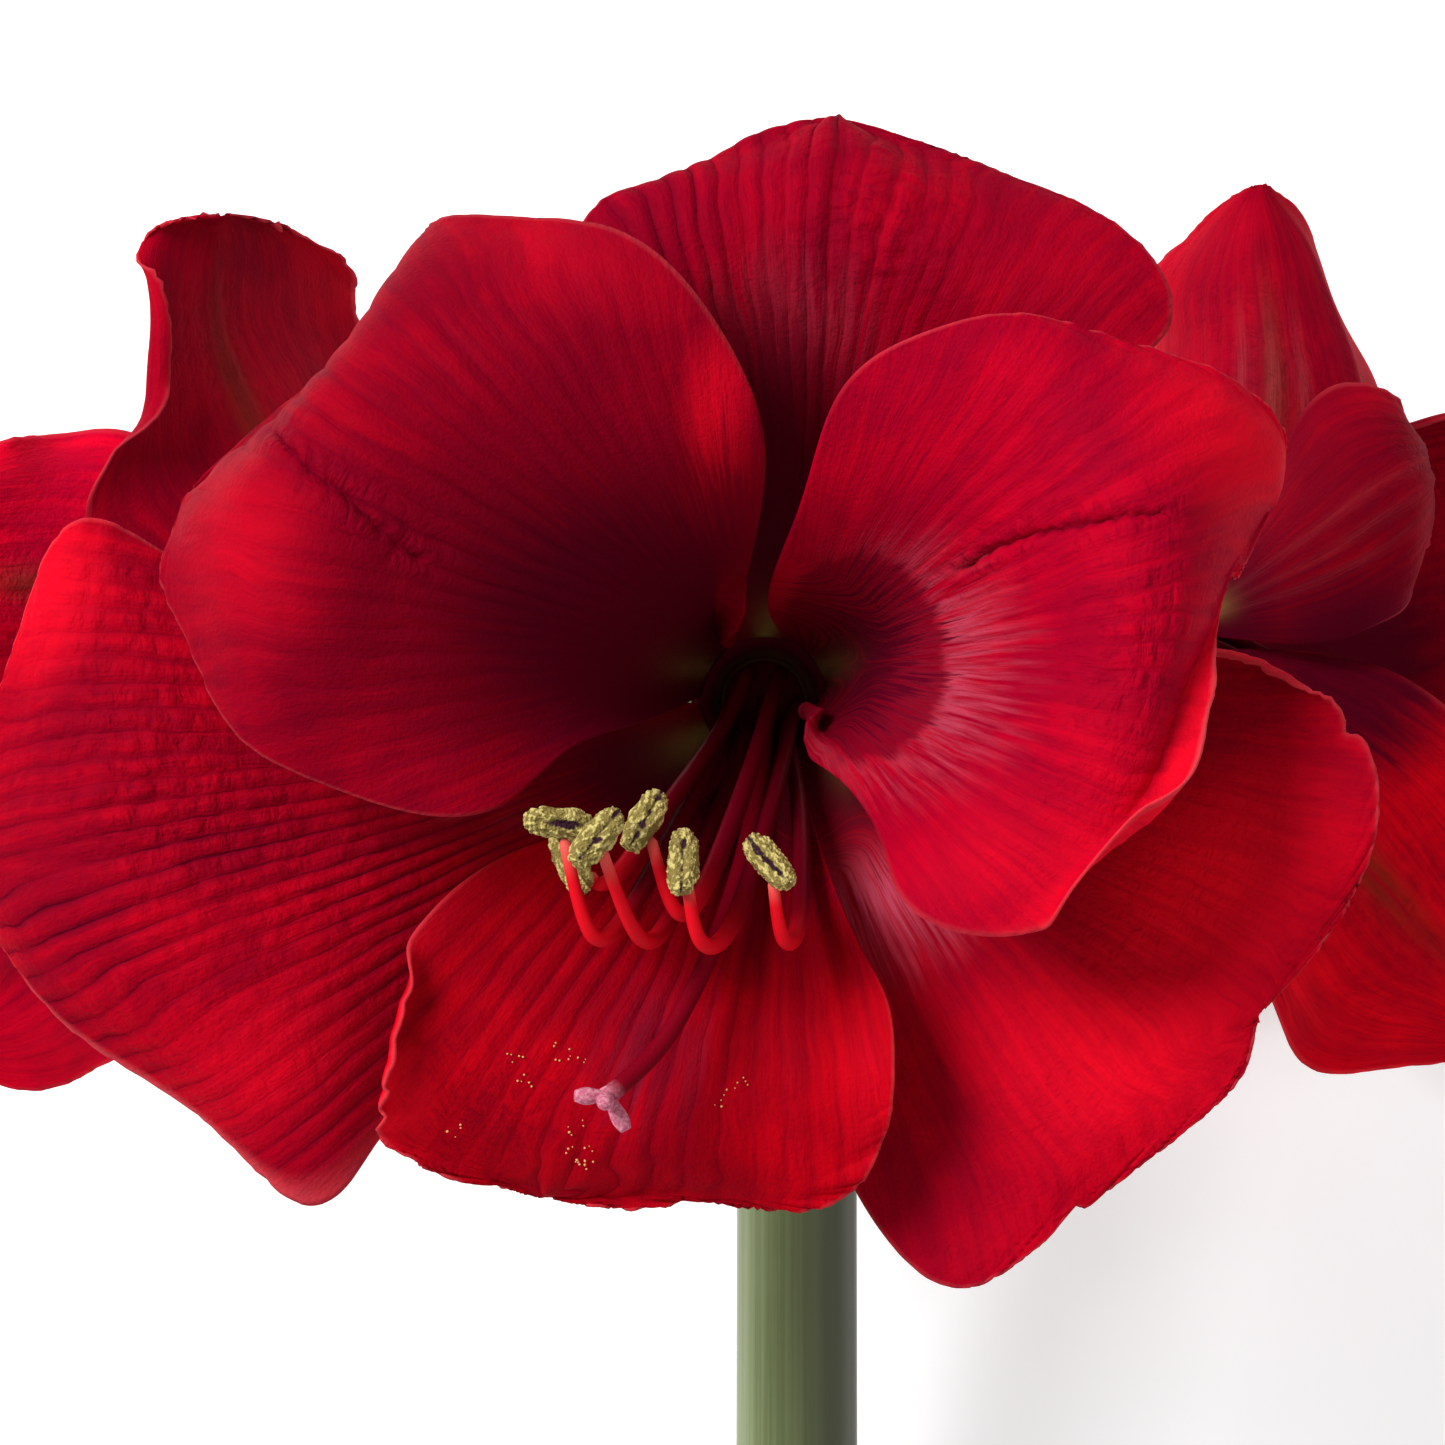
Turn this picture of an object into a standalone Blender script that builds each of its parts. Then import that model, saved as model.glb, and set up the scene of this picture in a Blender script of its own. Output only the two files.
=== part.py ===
"""A cut stem of red amaryllis lying on its side: one scape and an umbel of three open blooms.

The front bloom faces up, and the two side blooms face left and right. The stem rests on three
places: the lower rim of the cut scape and one pressed petal of each side bloom.

Every bloom is modelled in a frame of its own, in millimetres: the origin is the middle of the
mouth of its tube, +z is the way the bloom faces, and +y is the side away from the cut end.
"""
import bmesh
import bpy
import math
import numpy as np

MM = 0.001

# Driving sizes, in millimetres
SCAPE_LENGTH = 275.0
SCAPE_RADIUS_TOP = 9.6
SCAPE_RADIUS_CUT = 10.2
PETAL_THICKNESS = 0.8
BRACT_THICKNESS = 0.7
BRACT_STANDOFF = 0.15
TUBE_MOUTH_RADIUS = 9.0
TUBE_LENGTH = 30.0
TUBE_DROP = 0.4
PEDICEL_RADIUS = 3.5
OVARY_RADIUS = 6.3
FILAMENT_RADIUS = 1.05
STYLE_RADIUS = 1.15
ANTHER_LENGTH = 9.2
ANTHER_WIDTH = 4.4
ANTHER_DEPTH = 3.8
ANTHER_GAP = 0.6
FIT_GAP = 0.3

# The front bloom is laid out on its picture, seen from straight in front
PICTURE_SIZE = 1445.0
PICTURE_WIDTH = 200.8
VIEW_DISTANCE = 600.0
THROAT_ACROSS = 765.0
THROAT_DOWN = 700.0
THROAT_PIXELS = 65.0

# How far the petals of the front bloom draw back to the mouth of the tube, and from how far round it
TRUMPET_DEPTH = 22.0
TRUMPET_PIXELS = 220.0

# The umbel: where the scape ends and where each bloom's tube opens, across, up and towards the eye
UMBEL_POINT = (12.0, -25.0, -95.0)
BLOOMS = {
    "front": dict(mouth=(6.1, 3.2, -TRUMPET_DEPTH), facing=(0.0, 0.0, 1.0), pedicel_seat=(0.0, 5.0)),
    "left": dict(mouth=(-62.0, 14.0, -94.0), facing=(-0.88, 0.05, -0.42), pedicel_seat=(-4.6, -2.7)),
    "right": dict(mouth=(74.0, 14.0, -94.0), facing=(0.88, 0.05, -0.42), pedicel_seat=(4.6, -2.7)),
}

# Lying pose: the whole stem leans back by this angle, and the floor is this far below the front mouth
LYING_TILT = math.radians(9.0)
FLOOR_DEPTH = 155.0

# Where the front mouth's frame is put on the floor, so that the origin is under the middle of the whole
LYING_ACROSS = -10.41
LYING_ALONG = 92.0

# Colours, as red, green and blue, and roughness
SCAPE_GREEN = (0.20, 0.33, 0.10)
PEDICEL_GREEN = (0.24, 0.30, 0.08)
BRACT_BROWN = (0.45, 0.30, 0.17)
PETAL_RED = (0.62, 0.003, 0.012)
FILAMENT_RED = (0.66, 0.01, 0.015)
STYLE_RED = (0.60, 0.02, 0.05)
POLLEN_YELLOW = (0.55, 0.47, 0.13)

# Guide lines of the front petals. A station is picture pixels across and down, and millimetres
# towards the eye. The first station is on the tube's mouth; the midrib's last one is the tip.
FRONT_PETALS = {
    "upper_left_inner": dict(
        edge_a=[(700, 696, 0.3), (640, 722, 20), (565, 752, 32), (490, 811, 42),
                (370, 802, 47), (250, 740, 46), (182, 645, 41), (168, 560, 35)],
        midrib=[(709, 668, 0.3), (655, 655, 12), (580, 612, 26), (490, 568, 39), (415, 535, 47),
                (345, 495, 51), (285, 447, 47), (255, 450, 36), (190, 491, 30)],
        edge_b=[(729, 646, 0.3), (744, 585, 18), (765, 470, 32), (742, 368, 40),
                (665, 262, 40), (545, 213, 34), (440, 228, 24), (400, 300, 8)]),
    "upper_right_inner": dict(
        edge_a=[(801, 646, 0.3), (768, 600, 18), (800, 505, 30), (838, 395, 38),
                (925, 332, 42), (1050, 316, 42), (1180, 360, 39), (1283, 425, 33)],
        midrib=[(821, 668, 0.3), (862, 655, 9), (920, 632, 21), (990, 607, 33), (1060, 582, 43),
                (1130, 557, 49), (1195, 535, 47), (1243, 518, 38), (1269, 507, 29)],
        edge_b=[(830, 696, 0.3), (794, 742, 14), (840, 780, 25), (884, 850, 37),
                (925, 920, 44), (1045, 930, 48), (1135, 835, 47), (1200, 660, 42)]),
    "bottom_inner": dict(
        edge_a=[(793, 758, 0.3), (818, 840, 14), (852, 930, 23), (886, 1000, 28),
                (896, 1075, 30), (880, 1150, 28), (825, 1203, 24), (680, 1208, 20)],
        midrib=[(765, 765, 0.3), (748, 835, 7), (725, 905, 14), (700, 970, 20), (672, 1035, 24),
                (640, 1095, 26), (605, 1145, 25), (570, 1180, 22), (545, 1198, 19)],
        edge_b=[(737, 758, 0.3), (690, 805, 14), (590, 830, 22), (475, 872, 28),
                (398, 958, 31), (366, 1050, 31), (385, 1148, 27), (465, 1175, 23)]),
    "top_outer": dict(
        edge_a=[(737, 642, 0), (700, 590, 4), (640, 480, 13), (592, 380, 21),
                (562, 292, 25), (585, 222, 22), (660, 180, 17), (750, 143, 13)],
        midrib=[(765, 635, 0), (775, 590, 1), (790, 505, 5), (804, 415, 12), (817, 325, 19),
                (829, 245, 23), (837, 185, 21), (841, 145, 16), (839, 119, 11)],
        edge_b=[(793, 642, 0), (835, 600, 4), (900, 525, 9), (985, 455, 15),
                (1075, 405, 21), (1150, 352, 24), (1168, 285, 22), (1050, 190, 15)]),
    "lower_left_outer": dict(
        edge_a=[(729, 754, 0), (702, 838, 2), (575, 950, 8), (450, 1060, 13),
                (370, 1155, 18), (300, 1200, 18), (175, 1103, 17), (40, 992, 16)],
        midrib=[(709, 732, 0), (650, 765, 3), (550, 790, 10), (430, 815, 18), (310, 835, 24),
                (190, 850, 28), (90, 860, 27), (15, 866, 21), (-40, 868, 14)],
        edge_b=[(700, 704, 0), (600, 690, 6), (480, 660, 13), (360, 618, 18),
                (255, 580, 22), (165, 550, 24), (75, 525, 23), (5, 660, 21)]),
    "lower_right_outer": dict(
        edge_a=[(830, 704, 0), (900, 690, 6), (990, 668, 10), (1090, 645, 14),
                (1190, 632, 18), (1295, 655, 24), (1378, 775, 30), (1345, 910, 31)],
        midrib=[(821, 732, 0), (870, 780, 3), (930, 835, 8), (1000, 885, 13), (1070, 930, 18),
                (1140, 965, 23), (1195, 990, 27), (1235, 1005, 29), (1260, 1015, 30)],
        edge_b=[(802, 753, 0), (790, 848, 1), (794, 975, 7), (818, 1100, 12),
                (878, 1228, 16), (965, 1288, 19), (1082, 1212, 23), (1222, 1100, 28)]),
}

# Petals of the side blooms, each at its azimuth about the bloom's axis. Those that the picture shows
# have guide lines on it, as the front ones have, but starting after the mouth. The others have a
# midrib length and a blade width in millimetres, the midrib's angle from the axis at the mouth and at
# the tip, and the degrees that the edges are bent forward at the mouth and at the tip.
LEFT_PETALS = {
    "top_outer": dict(
        azimuth=82,
        edge_a=[(347, 541, -106), (354, 489, -114), (361, 430, -120),
                (363, 375, -122), (359, 325, -120), (358, 281, -114), (318, 240, -103)],
        midrib=[(306, 534, -92), (280, 486, -91), (256, 434, -90), (234, 380, -89),
                (217, 326, -88), (210, 277, -86), (214, 226, -84), (224, 214, -73)],
        edge_b=[(222, 596, -83), (130, 574, -77), (86, 512, -73),
                (116, 442, -71), (138, 373, -70), (137, 306, -71), (148, 236, -76)]),
    "upper_eye_inner": dict(
        azimuth=12,
        edge_a=[(262, 552, -98), (215, 502, -104), (170, 456, -107),
                (118, 432, -106), (58, 430, -102), (0, 446, -94), (-58, 480, -84)],
        midrib=[(250, 612, -92), (190, 604, -94), (130, 596, -93), (72, 590, -90),
                (14, 584, -84), (-42, 580, -76), (-90, 580, -67), (-132, 585, -58)],
        edge_b=[(228, 690, -91), (153, 720, -92), (77, 740, -90),
                (10, 748, -85), (-48, 741, -78), (-96, 717, -71), (-128, 665, -63)]),
    "lower_eye_outer": dict(
        azimuth=316,
        edge_a=[(220, 652, -78), (145, 664, -71), (75, 686, -65),
                (15, 718, -60), (-35, 765, -56), (-70, 828, -54), (-88, 915, -54)],
        midrib=[(262, 716, -85), (212, 760, -82), (163, 806, -79), (116, 852, -76),
                (70, 898, -73), (25, 945, -70), (-20, 992, -66), (-66, 1040, -61)],
        edge_b=[(285, 770, -95), (255, 850, -98), (225, 925, -99),
                (190, 995, -97), (145, 1046, -92), (80, 1078, -84), (5, 1087, -74)]),
    "bottom_inner": dict(azimuth=262, length=84, width=54, flare=40, roll=68, cup=(28, 6)),
    "lower_floor_outer": dict(azimuth=202, length=74, width=60, flare=62, roll=138, cup=(18, -12)),
    "upper_floor_inner": dict(azimuth=141, length=78, width=56, flare=36, roll=116, cup=(30, -8)),
}
RIGHT_PETALS = {
    "top_outer": dict(
        azimuth=93,
        edge_a=[(1262, 560, -92), (1340, 525, -96), (1398, 475, -101),
                (1416, 415, -105), (1394, 342, -105), (1352, 270, -101), (1305, 214, -95)],
        midrib=[(1215, 540, -91), (1250, 495, -89), (1270, 445, -88), (1274, 390, -87),
                (1270, 335, -87), (1265, 280, -87), (1261, 230, -87), (1259, 185, -87)],
        edge_b=[(1172, 541, -106), (1165, 493, -113), (1155, 440, -117),
                (1150, 385, -118), (1150, 330, -116), (1158, 275, -111), (1192, 226, -101)]),
    "upper_eye_inner": dict(
        azimuth=156,
        edge_a=[(1275, 642, -82), (1330, 641, -77), (1376, 625, -75),
                (1406, 598, -76), (1419, 565, -81), (1421, 535, -90), (1416, 503, -99)],
        midrib=[(1262, 588, -79), (1312, 562, -72), (1358, 535, -68), (1398, 508, -68),
                (1423, 487, -74), (1429, 474, -84), (1422, 467, -94), (1410, 465, -103)],
        edge_b=[(1242, 528, -86), (1276, 464, -83), (1308, 408, -81),
                (1346, 380, -80), (1384, 396, -81), (1405, 418, -87), (1411, 438, -95)]),
    "lower_eye_outer": dict(
        azimuth=222,
        edge_a=[(1222, 770, -95), (1240, 850, -97), (1255, 930, -97),
                (1272, 1010, -95), (1308, 1063, -90), (1375, 1072, -83), (1445, 1062, -75)],
        midrib=[(1246, 722, -85), (1286, 772, -82), (1327, 822, -79), (1368, 870, -76),
                (1408, 915, -73), (1446, 957, -70), (1480, 996, -67), (1510, 1032, -64)],
        edge_b=[(1290, 650, -87), (1355, 660, -84), (1415, 683, -79),
                (1468, 728, -73), (1510, 790, -67), (1537, 862, -61), (1540, 950, -60)]),
    "bottom_inner": dict(azimuth=274, length=78, width=54, flare=46, roll=72, cup=(28, 6)),
    "lower_floor_outer": dict(azimuth=331, length=74, width=60, flare=62, roll=138, cup=(18, -12)),
    "upper_floor_inner": dict(
        azimuth=32,
        edge_a=[(1230, 532, -111), (1290, 482, -118), (1350, 446, -121),
                (1405, 426, -121), (1455, 421, -119), (1503, 429, -115), (1545, 447, -111)],
        midrib=[(1215, 575, -113), (1270, 545, -121), (1325, 520, -126), (1378, 500, -129),
                (1430, 485, -130), (1480, 475, -128), (1527, 470, -124), (1568, 470, -118)],
        edge_b=[(1215, 690, -113), (1275, 735, -119), (1335, 760, -124),
                (1390, 768, -128), (1445, 762, -130), (1495, 740, -130), (1540, 690, -127)]),
}

# Stamens of a bloom, seen from in front: each filament's path from the ring in the throat, and the
# two ends of its anther. Pixels across and down, and millimetres towards the eye.
STAMENS = [
    dict(path=[(732, 703, -9), (728, 712, 2), (712, 755, 12), (672, 835, 24),
               (624, 918, 35), (590, 932, 41)],
         anther=((528, 820, 44), (590, 826, 44))),
    dict(path=[(748, 673, -9), (744, 682, 2), (718, 735, 14), (672, 800, 25),
               (628, 862, 33), (602, 884, 35)],
         anther=((564, 846, 36), (577, 878, 36))),
    dict(path=[(748, 728, -9), (744, 738, 2), (727, 790, 10), (700, 850, 20),
               (664, 928, 33), (634, 930, 42)],
         anther=((577, 862, 51), (616, 814, 53))),
    dict(path=[(781, 673, -9), (776, 684, 2), (764, 726, 14), (740, 800, 27),
               (702, 893, 37), (674, 908, 43)],
         anther=((630, 846, 46), (659, 796, 48))),
    dict(path=[(798, 703, -9), (793, 714, 2), (785, 748, 12), (765, 830, 25),
               (730, 928, 36), (700, 940, 43)],
         anther=((681, 891, 49), (684, 833, 50))),
    dict(path=[(782, 728, -9), (786, 738, 2), (797, 790, 11), (801, 850, 20),
               (798, 925, 30), (783, 938, 37)],
         anther=((746, 836, 45), (793, 888, 44))),
]
STYLE_PATH = [(765, 703, -8.4), (765, 722, 0), (763, 755, 6), (754, 810, 12), (740, 870, 19),
              (718, 935, 26), (688, 1000, 32), (655, 1052, 36), (608, 1096, 40)]
STIGMA_LOBES = [(575, 1096, 41), (604, 1104, 45.5), (626, 1130, 41)]

PETAL_CELLS = (8, 16)
SIDE_CELLS = (6, 12)
TIP_HALF_WIDTH = 1.2
PETAL_HALF_TURN = 26.0
INNER_STEP = 0.5
MOUTH_CUP = math.radians(13.0)
FILAMENT_STEPS = 12
STYLE_STEPS = 14
TUBE_SIDES = 12


def unit(vector):
    """The vector at length one, also for a whole array of vectors."""
    vector = np.asarray(vector, float)
    return vector / np.linalg.norm(vector, axis=-1, keepdims=True)


def seen(across, down, towards):
    """The point of the front bloom's frame that the picture shows at a pixel, at a given depth.

    Near the throat the depth is drawn back smoothly, so that the petals form a trumpet.
    """
    from_throat = math.hypot(across - THROAT_ACROSS, down - THROAT_DOWN)
    nearness = min(1.0, max(0.0, 1.0 - (from_throat - THROAT_PIXELS) / TRUMPET_PIXELS))
    depth = towards - TRUMPET_DEPTH * nearness**2
    size = PICTURE_WIDTH / PICTURE_SIZE * (1.0 - depth / VIEW_DISTANCE)
    middle = PICTURE_SIZE / 2.0
    mouth_x, mouth_y, mouth_z = BLOOMS["front"]["mouth"]
    return ((across - middle) * size - mouth_x, (middle - down) * size - mouth_y, depth - mouth_z)


def picture_guides(petal):
    """Edges and midrib of a petal that has its guide lines on the picture."""
    return [[seen(*point) for point in petal[line]] for line in ("edge_a", "midrib", "edge_b")]


def spline(points, count):
    """A natural cubic curve through the points, read at count + 1 even steps from end to end."""
    knots = np.asarray(points, float)
    last = len(knots) - 1
    system = np.eye(last + 1)
    bend = np.zeros_like(knots)
    for row in range(1, last):
        system[row, row - 1:row + 2] = (1.0, 4.0, 1.0)
        bend[row] = 6.0 * (knots[row - 1] - 2.0 * knots[row] + knots[row + 1])
    second = np.linalg.solve(system, bend)
    place = np.linspace(0.0, last, count + 1)
    low = np.minimum(place.astype(int), last - 1)
    high_part = (place - low)[:, None]
    low_part = 1.0 - high_part
    straight = low_part * knots[low] + high_part * knots[low + 1]
    curved = (low_part**3 - low_part) * second[low] + (high_part**3 - high_part) * second[low + 1]
    return straight + curved / 6.0


def blade(edge_a, midrib, edge_b, cells):
    """The middle surface of a petal: at each station a parabola through its two edges and midrib."""
    cells_across, cells_along = cells
    tip = np.array(midrib[-1], float)
    side = TIP_HALF_WIDTH * unit(np.subtract(edge_b[-1], edge_a[-1]))
    line_a = spline(list(edge_a) + [tip - side], cells_along)
    line_m = spline(midrib, cells_along)
    line_b = spline(list(edge_b) + [tip + side], cells_along)
    u = np.linspace(-1.0, 1.0, cells_across + 1)[:, None, None]
    return line_a * u * (u - 1.0) / 2.0 + line_m * (1.0 - u * u) + line_b * u * (u + 1.0) / 2.0


def surface_normals(grid):
    """Unit normals of a grid of points, from its differences across and along."""
    return unit(np.cross(np.gradient(grid, axis=0), np.gradient(grid, axis=1)))


def ruffle(grid, height, waves, phase):
    """Wave a blade's two edges along their length, fading to nothing at the midrib and the mouth."""
    u = np.linspace(-1.0, 1.0, grid.shape[0])[:, None]
    v = np.linspace(0.0, 1.0, grid.shape[1])[None, :]
    lift = height * np.sin(2.0 * math.pi * waves * v + phase + 1.3 * np.sign(u))
    fade = np.abs(u)**3 * np.clip(2.5 * v - 0.6, 0.0, 1.0) * np.clip(6.0 * (1.0 - v), 0.0, 1.0)
    return grid + surface_normals(grid) * (lift * fade)[:, :, None]


def mouth_stations(azimuth, inner):
    """Where a side bloom's petal starts on the mouth of its tube: one edge, the middle, the other."""
    turn = np.radians(azimuth + PETAL_HALF_TURN * np.array((1.0, 0.0, -1.0)))
    radius = TUBE_MOUTH_RADIUS - (INNER_STEP if inner else 0.0)
    height = np.full(3, INNER_STEP if inner else 0.0)
    return np.stack((radius * np.cos(turn), radius * np.sin(turn), height), -1)


def curved_petal_guides(petal, inner):
    """Edges and midrib of a side bloom's petal, from its azimuth, length, width, flare and roll."""
    stations = 9
    step = np.linspace(0.0, 1.0, stations)
    angle = np.radians(petal["flare"] + (petal["roll"] - petal["flare"]) * step**1.4)
    stride = petal["length"] / (stations - 1)
    middle_angle = (angle[1:] + angle[:-1]) / 2.0
    radial = np.concatenate(([0.0], np.cumsum(np.sin(middle_angle) * stride)))
    axial = np.concatenate(([0.0], np.cumsum(np.cos(middle_angle) * stride)))
    azimuth = math.radians(petal["azimuth"])
    outward = np.array((math.cos(azimuth), math.sin(azimuth), 0.0))
    sideways = np.array((-math.sin(azimuth), math.cos(azimuth), 0.0))
    axis = np.array((0.0, 0.0, 1.0))
    start = mouth_stations(petal["azimuth"], inner)
    midrib = start[1] + radial[:, None] * outward + axial[:, None] * axis
    forward = np.sin(angle)[:, None] * axis - np.cos(angle)[:, None] * outward
    mouth_half = np.linalg.norm(start[0] - start[2]) / 2.0
    swell = np.sin(math.pi * step**1.4)**0.6
    half = mouth_half * (1.0 - step) + (petal["width"] / 2.0 - mouth_half * 0.4) * swell
    cup = np.radians(petal["cup"][0] + (petal["cup"][1] - petal["cup"][0]) * step)
    cup[0] = MOUTH_CUP
    lift = (np.sin(cup) * half)[:, None] * forward
    spread = (np.cos(cup) * half)[:, None] * sideways
    edge_a = midrib + lift + spread
    edge_b = midrib + lift - spread
    return edge_a[:-1], midrib, edge_b[:-1]


def side_petal_guides(petal, inner, bloom):
    """Edges and midrib of a side bloom's petal in the umbel's frame, drawn or worked out."""
    if "midrib" not in petal:
        return [into_umbel(line, bloom) for line in curved_petal_guides(petal, inner)]
    starts = into_umbel(mouth_stations(petal["azimuth"], inner), bloom)
    drawn = [into_umbel(line, BLOOMS["front"]) for line in picture_guides(petal)]
    return [np.vstack((start, line)) for start, line in zip(starts, drawn)]


def bloom_axes(bloom):
    """The bloom's own right, up and facing directions, as rows."""
    facing = unit(bloom["facing"])
    right = unit(np.cross((0.0, 1.0, 0.0), facing))
    return np.array((right, np.cross(facing, right), facing))


def into_umbel(points, bloom):
    """Points of a bloom's own frame in the umbel's frame: across, up and towards the eye."""
    return np.asarray(points, float) @ bloom_axes(bloom) + np.array(bloom["mouth"])


def lay_down(points):
    """Points of the umbel's frame on the floor: leaned back, with the floor at height zero."""
    x, y, z = np.moveaxis(np.asarray(points, float), -1, 0)
    lean_cos = math.cos(LYING_TILT)
    lean_sin = math.sin(LYING_TILT)
    return np.stack((x + LYING_ACROSS,
                     y * lean_cos - z * lean_sin + LYING_ALONG,
                     y * lean_sin + z * lean_cos + FLOOR_DEPTH), -1)


def clear_scene():
    """Start from an empty scene."""
    for item in list(bpy.data.objects):
        bpy.data.objects.remove(item, do_unlink=True)


def finish_material(name, colour, roughness):
    """A plain material with the piece's colour."""
    material = bpy.data.materials.new(name)
    material.use_nodes = True
    shader = material.node_tree.nodes["Principled BSDF"]
    shader.inputs["Base Color"].default_value = (*colour, 1.0)
    shader.inputs["Roughness"].default_value = roughness
    material.diffuse_color = (*colour, 1.0)
    return material


def add_object(name, vertices, faces, colour, roughness):
    """One named object from points in millimetres on the floor, with its faces turned outwards."""
    mesh = bpy.data.meshes.new(name)
    mesh.from_pydata((np.asarray(vertices) * MM).tolist(), [], faces)
    shape = bmesh.new()
    shape.from_mesh(mesh)
    bmesh.ops.recalc_face_normals(shape, faces=shape.faces)
    bmesh.ops.triangulate(shape, faces=[face for face in shape.faces if len(face.verts) > 3])
    shape.to_mesh(mesh)
    shape.free()
    mesh.shade_smooth()
    mesh.materials.append(finish_material(name, colour, roughness))
    item = bpy.data.objects.new(name, mesh)
    bpy.context.collection.objects.link(item)
    return item


def leaf_solid(name, grid, thickness, colour, roughness):
    """A closed leaf from its middle surface: two faces split alike, and a rim round them."""
    across, along = grid.shape[:2]
    offset = surface_normals(grid) * thickness / 2.0
    front = grid + offset
    back = grid - offset
    top_is_front = front[..., 2] > back[..., 2]
    floor_of_front = np.where(top_is_front, thickness, 0.0)
    front[..., 2] = np.maximum(front[..., 2], floor_of_front)
    back[..., 2] = np.maximum(back[..., 2], thickness - floor_of_front)
    vertices = np.concatenate((front.reshape(-1, 3), back.reshape(-1, 3)))
    number = np.arange(across * along).reshape(across, along)
    one, two = number[:-1, :-1].ravel(), number[1:, :-1].ravel()
    three, four = number[1:, 1:].ravel(), number[:-1, 1:].ravel()
    front_faces = np.concatenate((np.stack((one, two, three), 1), np.stack((one, three, four), 1)))
    rim = np.concatenate((number[:-1, 0], number[-1, :-1], number[:0:-1, -1], number[0, :0:-1]))
    rim_next = np.roll(rim, -1)
    below = across * along
    rim_faces = np.concatenate((np.stack((rim, rim + below, rim_next + below), 1),
                                np.stack((rim, rim_next + below, rim_next), 1)))
    faces = np.concatenate((front_faces, front_faces[:, ::-1] + below, rim_faces))
    return add_object(name, vertices, faces.tolist(), colour, roughness)


def ring_frames(path):
    """For each point of a path, two directions square to it that don't twist along the way."""
    way = unit(np.gradient(path, axis=0))
    helper = np.array((0.0, 1.0, 0.0)) if abs(way[0, 1]) < 0.8 else np.array((1.0, 0.0, 0.0))
    first = [unit(np.cross(way[0], helper))]
    for direction in way[1:]:
        first.append(unit(first[-1] - direction * np.dot(first[-1], direction)))
    first = np.array(first)
    return first, np.cross(way, first)


def tube_rings(path, radii, sides, lobes=None):
    """Rings of points round a path. Lobes, if given, swell each ring's radius three times round."""
    first, second = ring_frames(path)
    turn = np.linspace(0.0, 2.0 * math.pi, sides, endpoint=False)
    swell = np.ones((len(path), sides))
    if lobes is not None:
        swell += np.asarray(lobes)[:, None] * np.cos(3.0 * turn)[None, :]
    reach = (np.asarray(radii)[:, None] * swell)[:, :, None]
    round_first = np.cos(turn)[None, :, None] * first[:, None, :]
    round_second = np.sin(turn)[None, :, None] * second[:, None, :]
    return path[:, None, :] + reach * (round_first + round_second)


def skin(rings):
    """Vertices and faces of a closed body over a row of rings, with a flat face on each end."""
    count, sides = rings.shape[:2]
    number = np.arange(count * sides).reshape(count, sides)
    beside = np.roll(number, -1, axis=1)
    walls = np.stack((number[:-1], beside[:-1], beside[1:], number[1:]), -1).reshape(-1, 4)
    faces = walls.tolist() + [number[0, ::-1].tolist(), number[-1].tolist()]
    return rings.reshape(-1, 3), faces


def ball_rings(centre, length_way, length, side_way, width, depth, sides, bands):
    """Rings of an egg shape with three different diameters, its long one along length_way."""
    along = unit(length_way)
    across = unit(side_way - along * np.dot(side_way, along))
    towards = np.cross(along, across)
    angle = np.linspace(0.12, math.pi - 0.12, bands)[:, None, None]
    turn = np.linspace(0.0, 2.0 * math.pi, sides, endpoint=False)[None, :, None]
    return (centre - np.cos(angle) * along * length / 2.0
            + np.sin(angle) * np.cos(turn) * across * width / 2.0
            + np.sin(angle) * np.sin(turn) * towards * depth / 2.0)


def fuse(name, bodies, colour, roughness):
    """One object from several closed bodies, joined into one by a union."""
    group = bpy.data.collections.new(name + "_bodies")
    bpy.context.scene.collection.children.link(group)
    first = add_object(name, *bodies[0], colour, roughness)
    for index, body in enumerate(bodies[1:]):
        extra = add_object(f"{name}_body_{index}", *body, colour, roughness)
        bpy.context.collection.objects.unlink(extra)
        group.objects.link(extra)
    union = first.modifiers.new("union", "BOOLEAN")
    union.operation = "UNION"
    union.operand_type = "COLLECTION"
    union.collection = group
    union.solver = "EXACT"
    graph = bpy.context.evaluated_depsgraph_get()
    joined = bpy.data.meshes.new_from_object(first.evaluated_get(graph))
    first.modifiers.clear()
    first.data = joined
    joined.name = name
    for extra in list(group.objects):
        bpy.data.objects.remove(extra, do_unlink=True)
    bpy.data.collections.remove(group)
    return first


def scape_axis():
    """The top and the cut end of the scape's axis, on the floor. The cut's lower rim rests on it.

    The rim is a quarter turn below the axis's end, so the slope follows from both lengths at once.
    """
    top = lay_down(UMBEL_POINT)
    to_rim = math.hypot(SCAPE_LENGTH, SCAPE_RADIUS_CUT)
    slope = math.asin(top[2] / to_rim) - math.atan2(SCAPE_RADIUS_CUT, SCAPE_LENGTH)
    way = np.array((0.0, -math.cos(slope), -math.sin(slope)))
    return top, top + way * SCAPE_LENGTH


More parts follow.
